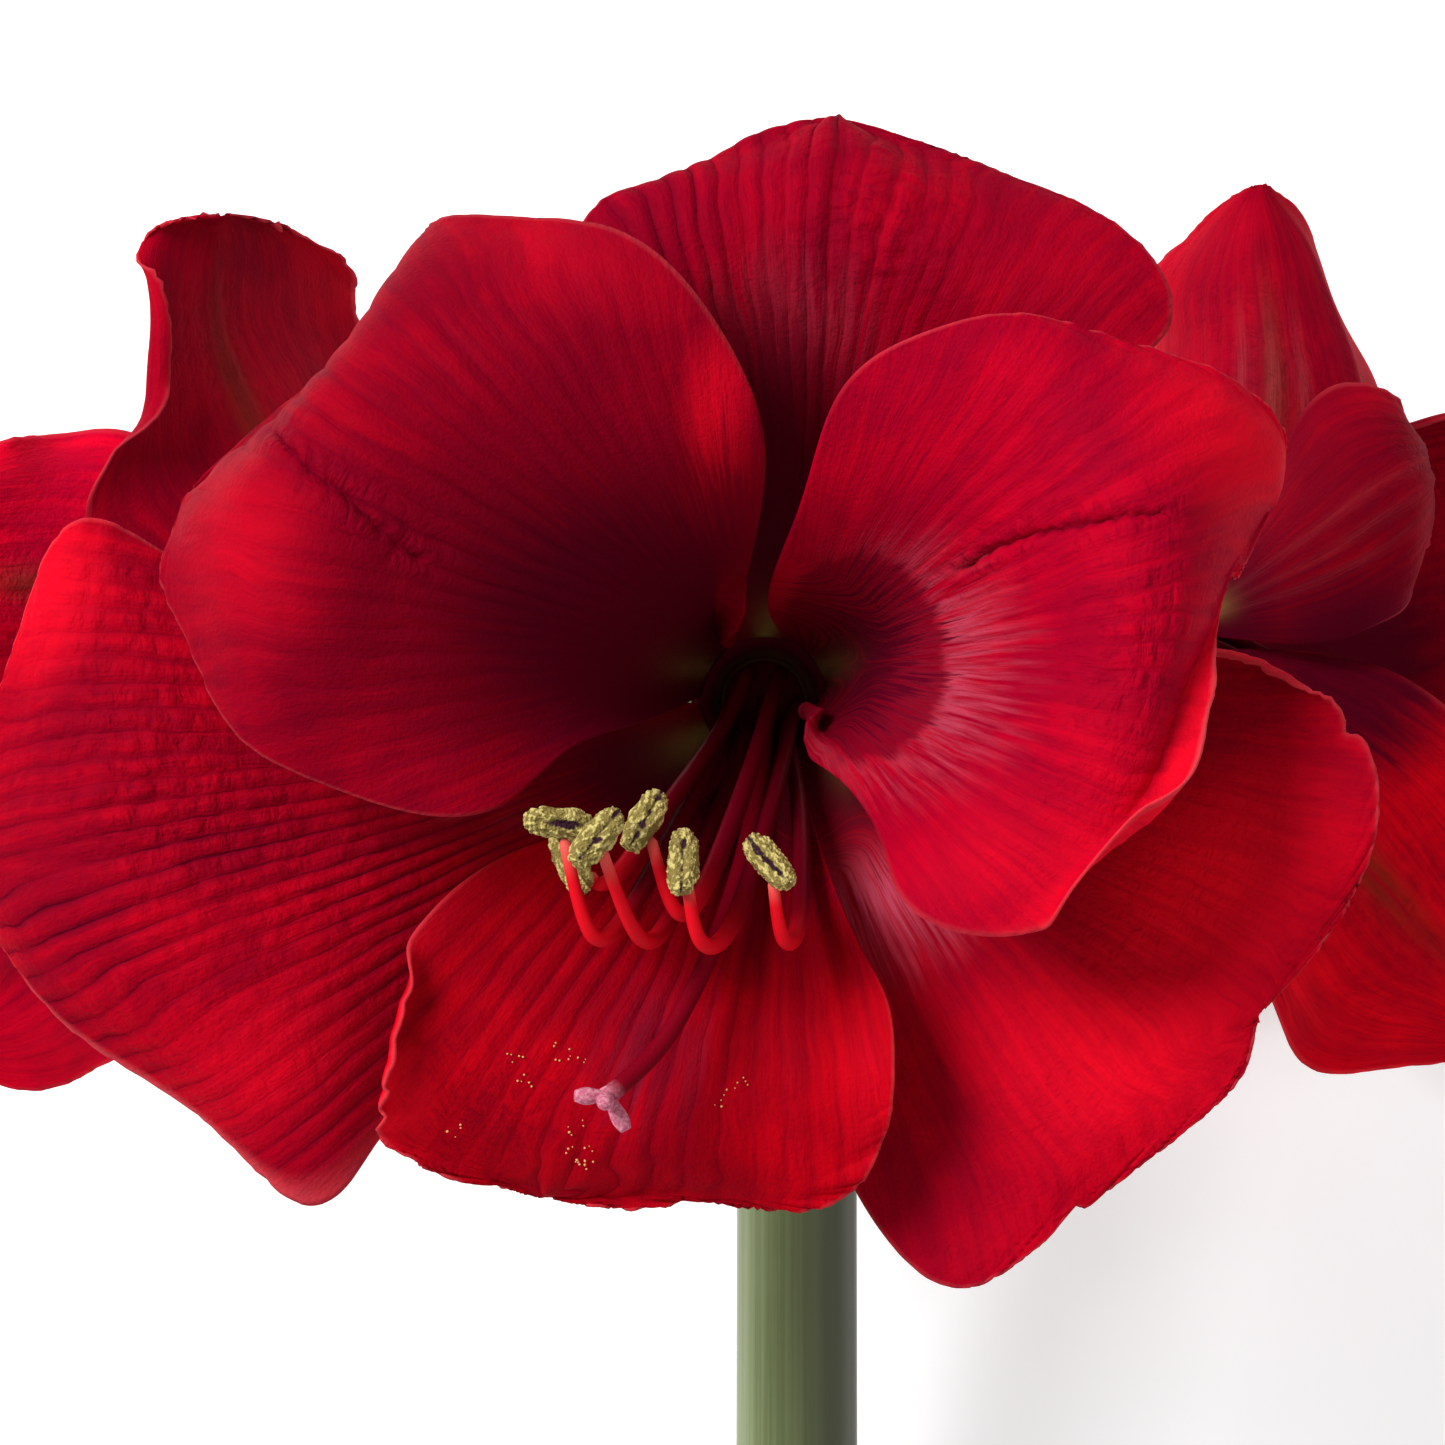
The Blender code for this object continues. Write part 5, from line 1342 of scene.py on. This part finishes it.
def scape_stations(settings):
    """Places down the stalk, their radii, and which lie on the fluted shaft and on the cut face."""
    length = settings.scape_length / MM
    radius_top = settings.scape_radius_top / MM
    radius_cut = settings.scape_radius_cut / MM
    head = np.array((0.0, 0.0, 0.012, 0.03)) * length
    head_radii = np.array((radius_top * 0.45, radius_top - 1.6, radius_top - 0.3, radius_top))
    shaft = np.linspace(0.06, 0.9985, 60) * length
    shaft_radii = radius_top + (radius_cut - radius_top) * shaft / length
    face = np.array((1.0, 1.0, 0.9992, 0.999, 0.999)) * length
    face_radii = radius_cut * np.array((0.985, 0.93, 0.82, 0.5, 0.2))
    stations = np.concatenate((head, shaft, face))
    radii = np.concatenate((head_radii, shaft_radii, face_radii))
    number = np.arange(len(stations))
    shaft_end = len(head) + len(shaft)
    on_shaft = (number >= len(head)) & (number < shaft_end - 2)
    return stations, radii, on_shaft, number > shaft_end


class AMARYLLIS_OT_scape(bpy.types.Operator):
    """Build the thick green flower stalk with its cut end"""
    bl_idname = "amaryllis.scape"
    bl_label = "Scape"

    def execute(self, context):
        settings = context.scene.amaryllis_stem
        top, cut = scape_axis(settings)
        stations, radii, on_shaft, on_face = scape_stations(settings)
        way = unit(cut - top)
        low = np.cross(ACROSS, way)
        low = low * -np.sign(low[2])
        turn = np.linspace(0.0, 2.0 * math.pi, SCAPE_SIDES, endpoint=False)
        fluting = 0.03 * np.sin(11.0 * turn)[None, :] + 0.02 * np.sin(17.0 * turn + 1.0)[None, :]
        reach = radii[:, None] + (fluting - 0.05) * on_shaft[:, None]
        spokes = np.cos(turn)[:, None] * low + np.sin(turn)[:, None] * ACROSS
        rings = (top + stations[:, None] * way)[:, None, :] + reach[:, :, None] * spokes[None]
        points, quads, triangles, uv = tube_body(rings[:, ::-1])
        points[:, 2] = np.maximum(points[:, 2], 0.0)
        is_cut = np.concatenate((np.repeat(on_face, SCAPE_SIDES), (0.0, 1.0)))
        # Painted shade: the flank attribute darkens the scape's right side, away from the light
        flank_reach = FLANK_SHARE * settings.scape_radius_top / MM
        flank = 0.95 * smooth_step(points[:, 0], -flank_reach, flank_reach)
        piece = new_piece("scape_stalk", points, quads, triangles, {"cut": is_cut, "flank": flank}, uv,
                          scape_material(settings))
        place_piece(piece, "scape", "scape")
        return {"FINISHED"}


def bract_material(settings):
    """Dry papery skin: tan with brown veins along it."""
    material, tree, shader = new_material("dry_spathe", 0.7, 0.3)
    veins = stretched_noise(tree, own_surface(tree), (30.0, 2.0, 1.0), 4.0)
    tan, brown = tint(settings.bract_tan), tint(settings.bract_brown)
    colour = mixed(tree, ranged(tree, veins, 0.42, 0.62), tan, brown)
    finish_skin(tree, shader, colour, veins, 0.6, 0.0006)
    return material


def bract_grid(settings, turn, length):
    """The middle surface of a spathe valve, at a turn round the scape's head, folded and curled."""
    top, cut = scape_axis(settings)
    down = unit(cut - top)
    below = np.cross(ACROSS, down)
    below = below * -np.sign(below[2])
    outward = -below * math.cos(turn) + ACROSS * math.sin(turn)
    sideways = np.cross(down, outward)
    step = np.linspace(0.0, 1.0, 9)
    base = settings.scape_radius_top / MM + 0.15
    away = base + 9.0 * np.sin(math.pi * step * 0.62) + 4.0 * step
    midrib = top + down * (2.0 + length * step[:, None]) + outward * away[:, None]
    half = 7.5 * (1.0 - step)**0.6 + 0.9
    droop = -outward * (half**2 / (2.0 * base))[:, None]
    edge_a = midrib + sideways * half[:, None] + droop
    edge_b = midrib - sideways * half[:, None] + droop
    grid = ruffle(blade(edge_a[:-1], midrib, edge_b[:-1], BRACT_CELLS), *BRACT_WAVES, turn)
    u, v = parameters(grid)
    folds = 0.35 * np.sin(22.0 * u + 2.0 * np.sin(5.0 * v)) * smooth_step(v, 0.05, 0.3)
    curl = 0.8 * value_noise(u * 2.0, v * 6.0, 71) * smooth_step(v, 0.1, 0.5)
    return grid + surface_normals(grid) * (folds + curl)[..., None]


class AMARYLLIS_OT_bracts(bpy.types.Operator):
    """Build the two withered spathe valves at the head of the scape"""
    bl_idname = "amaryllis.bracts"
    bl_label = "Spathe valves"

    def execute(self, context):
        settings = context.scene.amaryllis_stem
        material = bract_material(settings)
        for name, (turn_degrees, length) in BRACTS.items():
            grid = bract_grid(settings, math.radians(turn_degrees), length)
            thickness = np.full(grid.shape[:2], settings.bract_thickness / MM * 0.7)
            piece = leaf_piece(f"{name}_skin", grid, thickness, {}, material)
            place_piece(piece, "bract", name)
        return {"FINISHED"}


def pedicel_material(settings, petals):
    """Green stalk and ovary that turn red towards the mouth, with a maroon cup inside, partly painted shade,
    and a touch of yellow green deep in it.
    """
    material, tree, shader = new_material("pedicel_skin", 0.5, 0.15)
    mottle = even_noise(tree, 120.0, 3.0)
    inside = attribute(tree, "inside")
    redder = plus(tree, attribute(tree, "along"), times(tree, mottle, 0.12))
    light, dark = tint(settings.light_green), tint(settings.dark_green)
    colour = layered(tree, mixed(tree, ranged(tree, mottle, 0.35, 0.65), dark, light), (
        (ranged(tree, redder, 0.70, 0.92), petals.red),
        # The maroon cup is partly the throat's own dark red, partly painted shade deep in the tube
        (ranged(tree, inside, 0.0, 0.35), petals.maroon),
        (times(tree, ranged(tree, inside, 0.5, 0.9), 0.3), petals.star_green)))
    finish_skin(tree, shader, colour, mottle, 0.2, 0.0004)
    return material


def pedicel_line(start, up_scape, throat, mouth):
    """Stations of a pedicel, its ovary and its tube: out of the scape, round the bend and to the mouth."""
    facing = unit(mouth - throat)
    reach = np.linalg.norm(throat - start)
    leave = start + up_scape * BEND_SHARE * reach
    arrive = throat - facing * BEND_SHARE * reach
    t = np.linspace(0.0, 1.0, 11)[1:, None]
    curve = (1 - t)**3 * start + 3 * (1 - t)**2 * t * leave + 3 * (1 - t) * t**2 * arrive + t**3 * throat
    funnel_steps = np.array((0.2, 0.45, 0.7, 0.88, 1.0))[:, None]
    return np.vstack((start, start + up_scape * 1.5, curve, throat + funnel_steps * (mouth - throat)))


class AMARYLLIS_OT_pedicels(bpy.types.Operator):
    """Build each bloom's pedicel, three-lobed ovary and flaring tube"""
    bl_idname = "amaryllis.pedicels"
    bl_label = "Pedicels and tubes"

    def execute(self, context):
        settings = context.scene.amaryllis_stem
        top, cut = scape_axis(settings)
        up_scape = unit(top - cut)
        material = pedicel_material(settings, context.scene.amaryllis_petals)
        mouth_radius = settings.mouth_radius / MM
        ovary_radius = settings.ovary_radius / MM
        # The line's stations are 7 on the stalk, 5 on the ovary and 5 on the tube
        stalk_radii = np.full(7, settings.pedicel_radius / MM)
        ovary_radii = (3.6, 4.6, ovary_radius, ovary_radius, 5.2)
        tube_radii = (4.9, 5.7, 7.4, 8.5, mouth_radius)
        radii = np.concatenate((stalk_radii, ovary_radii, tube_radii))
        lobes = np.zeros(len(radii))
        lobes[9:12] = (0.06, 0.09, 0.05)
        outer_along = np.linspace(0.0, 1.0, TUBE_STEPS + 1)
        inner_depth = np.linspace(0.35, 1.0, CUP_STEPS + 1)
        along = np.repeat(np.append(outer_along, np.ones(CUP_STEPS + 1)), TUBE_SIDES)
        inside = np.repeat(np.append(np.zeros(TUBE_STEPS + 1), inner_depth), TUBE_SIDES)
        attributes = {"along": np.append(along, (0.0, 1.0)), "inside": np.append(inside, (0.0, 1.0))}
        for bloom_name, bloom in BLOOMS.items():
            seat_x, seat_z = bloom["pedicel_seat"]
            start = top + up_scape * 0.3 + ACROSS * seat_x + np.cross(ACROSS, up_scape) * seat_z
            mouth = on_floor((0.0, 0.0, -TUBE_DROP), bloom)
            throat = on_floor((0.0, 0.0, -TUBE_LENGTH), bloom)
            line = spline(pedicel_line(start, up_scape, throat, mouth), TUBE_STEPS)
            outer = tube_rings(line, finer(radii, TUBE_STEPS), TUBE_SIDES, finer(lobes, TUBE_STEPS))
            lip_height = 1.6 if bloom_name == "front" else 0.4
            cup_steps = np.array((1.0 + lip_height / TUBE_LENGTH, 0.985, 0.9, 0.8, 0.655))[:, None]
            cup = spline(throat + cup_steps * (mouth - throat), CUP_STEPS)
            cup_radii = finer((mouth_radius + lip_height, mouth_radius - 1.0, 7.4, 6.7, 6.2), CUP_STEPS)
            inner = cup[:, None, :] + cup_radii[:, None, None] * unit(outer[-1] - mouth)[None]
            points, quads, triangles, uv = tube_body(np.concatenate((outer, inner)))
            piece = new_piece(f"{bloom_name}_tube_skin", points, quads, triangles, attributes, uv, material)
            place_piece(piece, "pedicel", f"{bloom_name}_pedicel_and_tube")
        return {"FINISHED"}


def filament_material(settings):
    """Glossy red filament, darkened at its foot by painted shade deep in the throat, and paler pink where it
    meets the anther.
    """
    material, tree, shader = new_material("filament_skin", 0.45, 0.03)
    along = attribute(tree, "along")
    colour = layered(tree, tint(settings.filament_foot_shade), (
        (ranged(tree, along, 0.56, 0.80), settings.filament_red),
        (ranged(tree, along, 0.92, 1.0), settings.filament_pink)))
    tree.links.new(colour, shader.inputs["Base Color"])
    let_light_through(shader, 0.2, (1.0, 0.15, 0.1), 0.002)
    return material


def anther_material(settings):
    """Crumbs of yellow pollen, olive between them, with a grey purple skin bare along the groove."""
    material, tree, shader = new_material("pollen_grain", 0.85, 0.1)
    grain = grains(tree, 2600.0)
    crumb = plus(tree, attribute(tree, "crumb"), times(tree, grain, -0.5))
    bare = plus(tree, even_noise(tree, 420.0, 3.0), times(tree, attribute(tree, "bare"), 0.45))
    colour = layered(tree, tint(settings.pollen_olive), (
        (ranged(tree, crumb, -0.35, 0.35), settings.pollen_yellow),
        (ranged(tree, bare, 0.84, 0.98), settings.anther_purple)))
    finish_skin(tree, shader, colour, grain, 0.9, 0.0003, invert=True)
    return material


def anther_body(centre, axes, settings, seed, cells):
    """A lumpy bean of crumbs: its radius is noisy, and a groove runs along its front.

    The axes run along it, across it and towards the eye. The first angle runs from pole to pole and
    the second round it. Returns its rings, how bare each point is of pollen, and how far it stands
    out as a crumb.
    """
    along, across, towards = axes
    angle = np.linspace(0.05, math.pi - 0.05, cells[0])[:, None]
    turn = np.linspace(0.0, 2.0 * math.pi, cells[1], endpoint=False)[None, :]
    turn = turn + np.zeros_like(angle)
    angle = angle + np.zeros_like(turn)
    ring_x = np.cos(turn) * np.sin(angle)
    ring_y = np.sin(turn) * np.sin(angle)
    lumps = value_noise(angle * 3.0 + ring_y * 2.0, ring_x * 2.5 + 9.0, seed)
    crumb = value_noise(angle * 7.0 + ring_y * 5.0, ring_x * 7.0 + 20.0, seed + 1)
    crumb = crumb + 0.7 * value_noise(angle * 13.0 - ring_y * 9.0, ring_x * 12.0 + 40.0, seed + 2)
    groove = bell(np.sin((turn - math.pi / 2.0) / 2.0), 0.0, 0.16) * np.sin(angle)
    thin = np.sin(angle)**0.6 * (1.0 + 0.12 * lumps + 0.11 * crumb - 0.25 * groove)
    length = settings.anther_length / MM / 2.0 * (1.0 + 0.03 * crumb)
    width, depth = settings.anther_width / MM, settings.anther_depth / MM
    rings = (centre - (np.cos(angle) * length)[..., None] * along
             + (thin * np.cos(turn) * width / 2.0)[..., None] * across
             + (thin * np.sin(turn) * depth / 2.0)[..., None] * towards)
    bare = bell(np.sin((turn - math.pi / 2.0) / 2.0), 0.0, 0.22)
    return rings, bare, crumb


def anther_gap_end(tip, centre, axes, settings):
    """Where a filament ends: a small gap off its anther, on the straight line to the anther's middle."""
    to_anther = unit(centre - tip)
    sizes = np.array((settings.anther_length, settings.anther_width, settings.anther_depth)) / MM
    surface = 1.0 / np.linalg.norm(axes @ to_anther / (sizes / 2.0))
    return centre - to_anther * (surface + ANTHER_GAP)


class AMARYLLIS_OT_stamens(bpy.types.Operator):
    """Build each bloom's six filaments on their ring, and the six anthers"""
    bl_idname = "amaryllis.stamens"
    bl_label = "Stamens"

    def execute(self, context):
        settings = context.scene.amaryllis_stamens
        filament_skin = filament_material(settings)
        pollen = anther_material(settings)
        radii = finer(settings.filament_radius / MM * np.array(FILAMENT_TAPER), FILAMENT_STEPS)
        radii = np.append(radii, FILAMENT_POINT)
        for bloom_name, bloom in BLOOMS.items():
            ring_path = on_floor([(0.0, 0.0, height) for height in RING_HEIGHTS], bloom)
            ring = tube_body(tube_rings(ring_path, RING_RADII, RING_SIDES))
            bodies = [with_along(ring, np.zeros_like)]
            cells = ANTHER_CELLS if bloom_name == "front" else FAR_ANTHER_CELLS
            for index, stamen in enumerate(STAMENS):
                path = np.array([seen(*point) for point in stamen["path"]])
                foot, head = np.array([seen(*point) for point in stamen["anther"]])
                centre = (foot + head) / 2.0
                along = unit(head - foot)
                across = unit(np.cross((0.0, 0.0, 1.0), along))
                axes = np.array((along, across, np.cross(along, across)))
                end = anther_gap_end(path[-1], centre, axes, settings)
                line = spline(np.vstack((path, end)), FILAMENT_STEPS)
                line = np.vstack((line, line[-1] + (centre - line[-1]) * 0.25))
                bodies.append(tube_body(tube_rings(on_floor(line, bloom), radii, FILAMENT_SIDES)))
                seed = ANTHER_FIRST_SEED + ANTHER_SEED * index
                rings, bare, crumb = anther_body(centre, axes, settings, seed, cells)
                points, quads, triangles, uv = tube_body(on_floor(rings, bloom))
                values = {"bare": np.append(bare, (0.0, 0.0)), "crumb": np.append(crumb, (0.0, 0.0))}
                anther = new_piece(f"{bloom_name}_pollen_anther_{index + 1}", points, quads, triangles,
                                   values, uv, pollen)
                place_piece(anther, "pollen", f"{bloom_name}_anther_{index + 1}")
            piece = join_bodies(f"{bloom_name}_filament_ring", bodies, filament_skin)
            place_piece(piece, "filament", f"{bloom_name}_filaments")
        return {"FINISHED"}


def pistil_material(settings):
    """Red style whose stigma lobes are mauve pink and finely hairy."""
    material, tree, shader = new_material("pistil_skin", 0.5, 0.02)
    hairs = even_noise(tree, 2200.0, 2.0)
    mauve, pink = tint(settings.stigma_mauve), tint(settings.stigma_pink)
    pale = mixed(tree, ranged(tree, hairs, 0.35, 0.7), mauve, pink)
    colour = mixed(tree, attribute(tree, "along"), tint(settings.style_red), pale)
    finish_skin(tree, shader, colour, hairs, 0.5, 0.0002)
    return material


class AMARYLLIS_OT_pollen(bpy.types.Operator):
    """Drop the crumbs of pollen that lie on the bottom petal"""
    bl_idname = "amaryllis.pollen"
    bl_label = "Dropped pollen"

    def execute(self, context):
        grid = front_petal_grid("bottom_inner", context.scene.amaryllis_petals)
        across, down = picture(grid)
        seats = (grid + CRUMB_LIFT * surface_normals(grid)).reshape(-1, 3)
        random = np.random.default_rng(5)
        angle = np.linspace(0.4, math.pi - 0.4, 4)[:, None]
        turn = np.linspace(0.0, 2.0 * math.pi, 7, endpoint=False)[None, :]
        ball = np.stack((np.sin(angle) * np.cos(turn), np.sin(angle) * np.sin(turn),
                         np.cos(angle) + 0.0 * turn), -1)
        bodies = []
        for spot in POLLEN_SPOTS:
            for _ in range(CRUMBS_ON_A_SPOT):
                place = np.array(spot) + random.uniform(-CRUMB_SCATTER, CRUMB_SCATTER, 2)
                nearest = np.argmin(np.hypot(across - place[0], down - place[1]))
                radius = random.uniform(*CRUMB_RADII)
                lumps = 1.0 + random.uniform(-0.25, 0.25, ball.shape[:2])
                bodies.append(tube_body(lay_down(seats[nearest] + radius * lumps[..., None] * ball)))
        material, _, shader = new_material("dropped_grain", 0.8, 0.1)
        shader.inputs["Base Color"].default_value = tint(context.scene.amaryllis_stamens.pollen_brown)
        place_piece(join_bodies("dropped_pollen", bodies, material), "pollen")
        return {"FINISHED"}


class AMARYLLIS_OT_pistils(bpy.types.Operator):
    """Build each bloom's style and its stigma of three lobes"""
    bl_idname = "amaryllis.pistils"
    bl_label = "Pistils"

    def execute(self, context):
        settings = context.scene.amaryllis_stamens
        material = pistil_material(settings)
        radius = settings.style_radius / MM
        line = spline([seen(*point) for point in STYLE_PATH], STYLE_STEPS)
        radii = np.linspace(radius, radius * 0.95, STYLE_STEPS + 1)
        lobe_steps = np.linspace(-0.25, 1.0, LOBE_STEPS + 1)[:, None]
        lobe_radii = finer(LOBE_RADII, LOBE_STEPS)
        for bloom_name, bloom in BLOOMS.items():
            style = tube_body(tube_rings(on_floor(line, bloom), radii, STYLE_SIDES))
            bodies = [with_along(style, lambda along: 0.6 * smooth_step(along, 0.97, 1.0))]
            for lobe in STIGMA_LOBES:
                lobe_path = line[-1] + lobe_steps * (np.array(seen(*lobe)) - line[-1])
                body = tube_body(tube_rings(on_floor(lobe_path, bloom), lobe_radii, LOBE_SIDES))
                bodies.append(with_along(body, np.ones_like))
            piece = join_bodies(f"{bloom_name}_style_and_stigma", bodies, material)
            place_piece(piece, "style", f"{bloom_name}_pistil")
        return {"FINISHED"}


def standing(ways, place):
    """The matrix of something that stands at a place on the floor with its axes along three ways."""
    columns = np.column_stack((*ways, place * MM))
    return Matrix(columns.tolist() + [[0.0, 0.0, 0.0, 1.0]])


def add_floor(settings):
    """A wide pale floor that gives off a little light, as a lit white cloth does."""
    half = settings.floor_size / 2.0
    mesh = bpy.data.meshes.new("pale_floor")
    corners = [(-half, -half, 0.0), (half, -half, 0.0), (half, half, 0.0), (-half, half, 0.0)]
    mesh.from_pydata(corners, [], [(0, 1, 2, 3)])
    floor = new_object("pale_floor", mesh)
    material, _, shader = new_material("floor_paper", 0.9, 0.1)
    shader.inputs["Base Color"].default_value = tint(settings.floor_colour)
    shader.inputs["Emission Color"].default_value = WHITE
    shader.inputs["Emission Strength"].default_value = settings.floor_glow
    mesh.materials.append(material)


def add_camera(settings):
    """The camera that sees the front bloom as the picture shows it."""
    camera_data = bpy.data.cameras.new("picture_camera")
    camera_data.sensor_width = SENSOR_WIDTH
    camera_data.sensor_fit = "HORIZONTAL"
    camera_data.lens = settings.focal_length
    camera = new_object("picture_camera", camera_data)
    ways = lay_down(np.eye(3)) - lay_down(np.zeros(3))
    camera.matrix_world = standing(ways, lay_down((0.0, 0.0, VIEW_DISTANCE)))
    bpy.context.scene.camera = camera


def add_light(name, spot, power, size):
    """A round soft light at a spot of the umbel's frame, aimed at the frame's middle."""
    light_data = bpy.data.lights.new(name, "AREA")
    light_data.shape = "DISK"
    light_data.size = size
    light_data.energy = power
    light = new_object(name, light_data)
    source = lay_down(spot)
    aim = unit(source - lay_down(np.zeros(3)))
    side = unit(np.cross((0.0, 1.0, 0.0), aim))
    light.matrix_world = standing((side, np.cross(aim, side), aim), source)


def add_sky(settings):
    """An even white light from all round."""
    world = bpy.data.worlds.new("soft_sky")
    world.use_nodes = True
    background = world.node_tree.nodes["Background"]
    background.inputs["Color"].default_value = WHITE
    background.inputs["Strength"].default_value = settings.sky_strength
    bpy.context.scene.world = world


class AMARYLLIS_OT_stage(bpy.types.Operator):
    """Add the pale floor, the soft lights and the camera"""
    bl_idname = "amaryllis.stage"
    bl_label = "Floor, lights and camera"

    def execute(self, context):
        settings = context.scene.amaryllis_stage
        add_floor(settings)
        add_camera(settings)
        add_light("key_light", KEY_SPOT, settings.key_power, KEY_SIZE)
        add_light("fill_light", FILL_SPOT, settings.fill_power, FILL_SIZE)
        add_sky(settings)
        context.scene.view_settings.view_transform = "Standard"
        return {"FINISHED"}


OPERATORS = (AMARYLLIS_OT_front_petals, AMARYLLIS_OT_side_petals, AMARYLLIS_OT_scape, AMARYLLIS_OT_bracts,
             AMARYLLIS_OT_pedicels, AMARYLLIS_OT_stamens, AMARYLLIS_OT_pollen, AMARYLLIS_OT_pistils,
             AMARYLLIS_OT_stage)
SETTINGS = {"amaryllis_petals": PetalSettings, "amaryllis_stamens": StamenSettings,
            "amaryllis_stem": StemSettings, "amaryllis_stage": StageSettings}


class AMARYLLIS_PT_panel(bpy.types.Panel):
    """The builders and their settings, in the sidebar of the 3D view"""
    bl_label = "Cut amaryllis stem"
    bl_idname = "AMARYLLIS_PT_panel"
    bl_space_type = "VIEW_3D"
    bl_region_type = "UI"
    bl_category = "Amaryllis"

    def draw(self, context):
        for builder in OPERATORS:
            self.layout.operator(builder.bl_idname)
        for name, group in SETTINGS.items():
            box = self.layout.box()
            for label in group.__annotations__:
                box.prop(getattr(context.scene, name), label)


def register():
    """Register the settings, the builders and the panel."""
    for name, group in SETTINGS.items():
        bpy.utils.register_class(group)
        setattr(bpy.types.Scene, name, bpy.props.PointerProperty(type=group))
    for builder in OPERATORS:
        bpy.utils.register_class(builder)
    bpy.utils.register_class(AMARYLLIS_PT_panel)


def unregister():
    """Take the panel, the builders and the settings out again."""
    bpy.utils.unregister_class(AMARYLLIS_PT_panel)
    for builder in reversed(OPERATORS):
        bpy.utils.unregister_class(builder)
    for name, group in SETTINGS.items():
        delattr(bpy.types.Scene, name)
        bpy.utils.unregister_class(group)


def main():
    """Build every piece and the stage."""
    register()
    bpy.ops.amaryllis.scape()
    bpy.ops.amaryllis.bracts()
    bpy.ops.amaryllis.pedicels()
    bpy.ops.amaryllis.front_petals()
    bpy.ops.amaryllis.side_petals()
    bpy.ops.amaryllis.stamens()
    bpy.ops.amaryllis.pollen()
    bpy.ops.amaryllis.pistils()
    bpy.ops.amaryllis.stage()


if __name__ == "__main__":
    main()
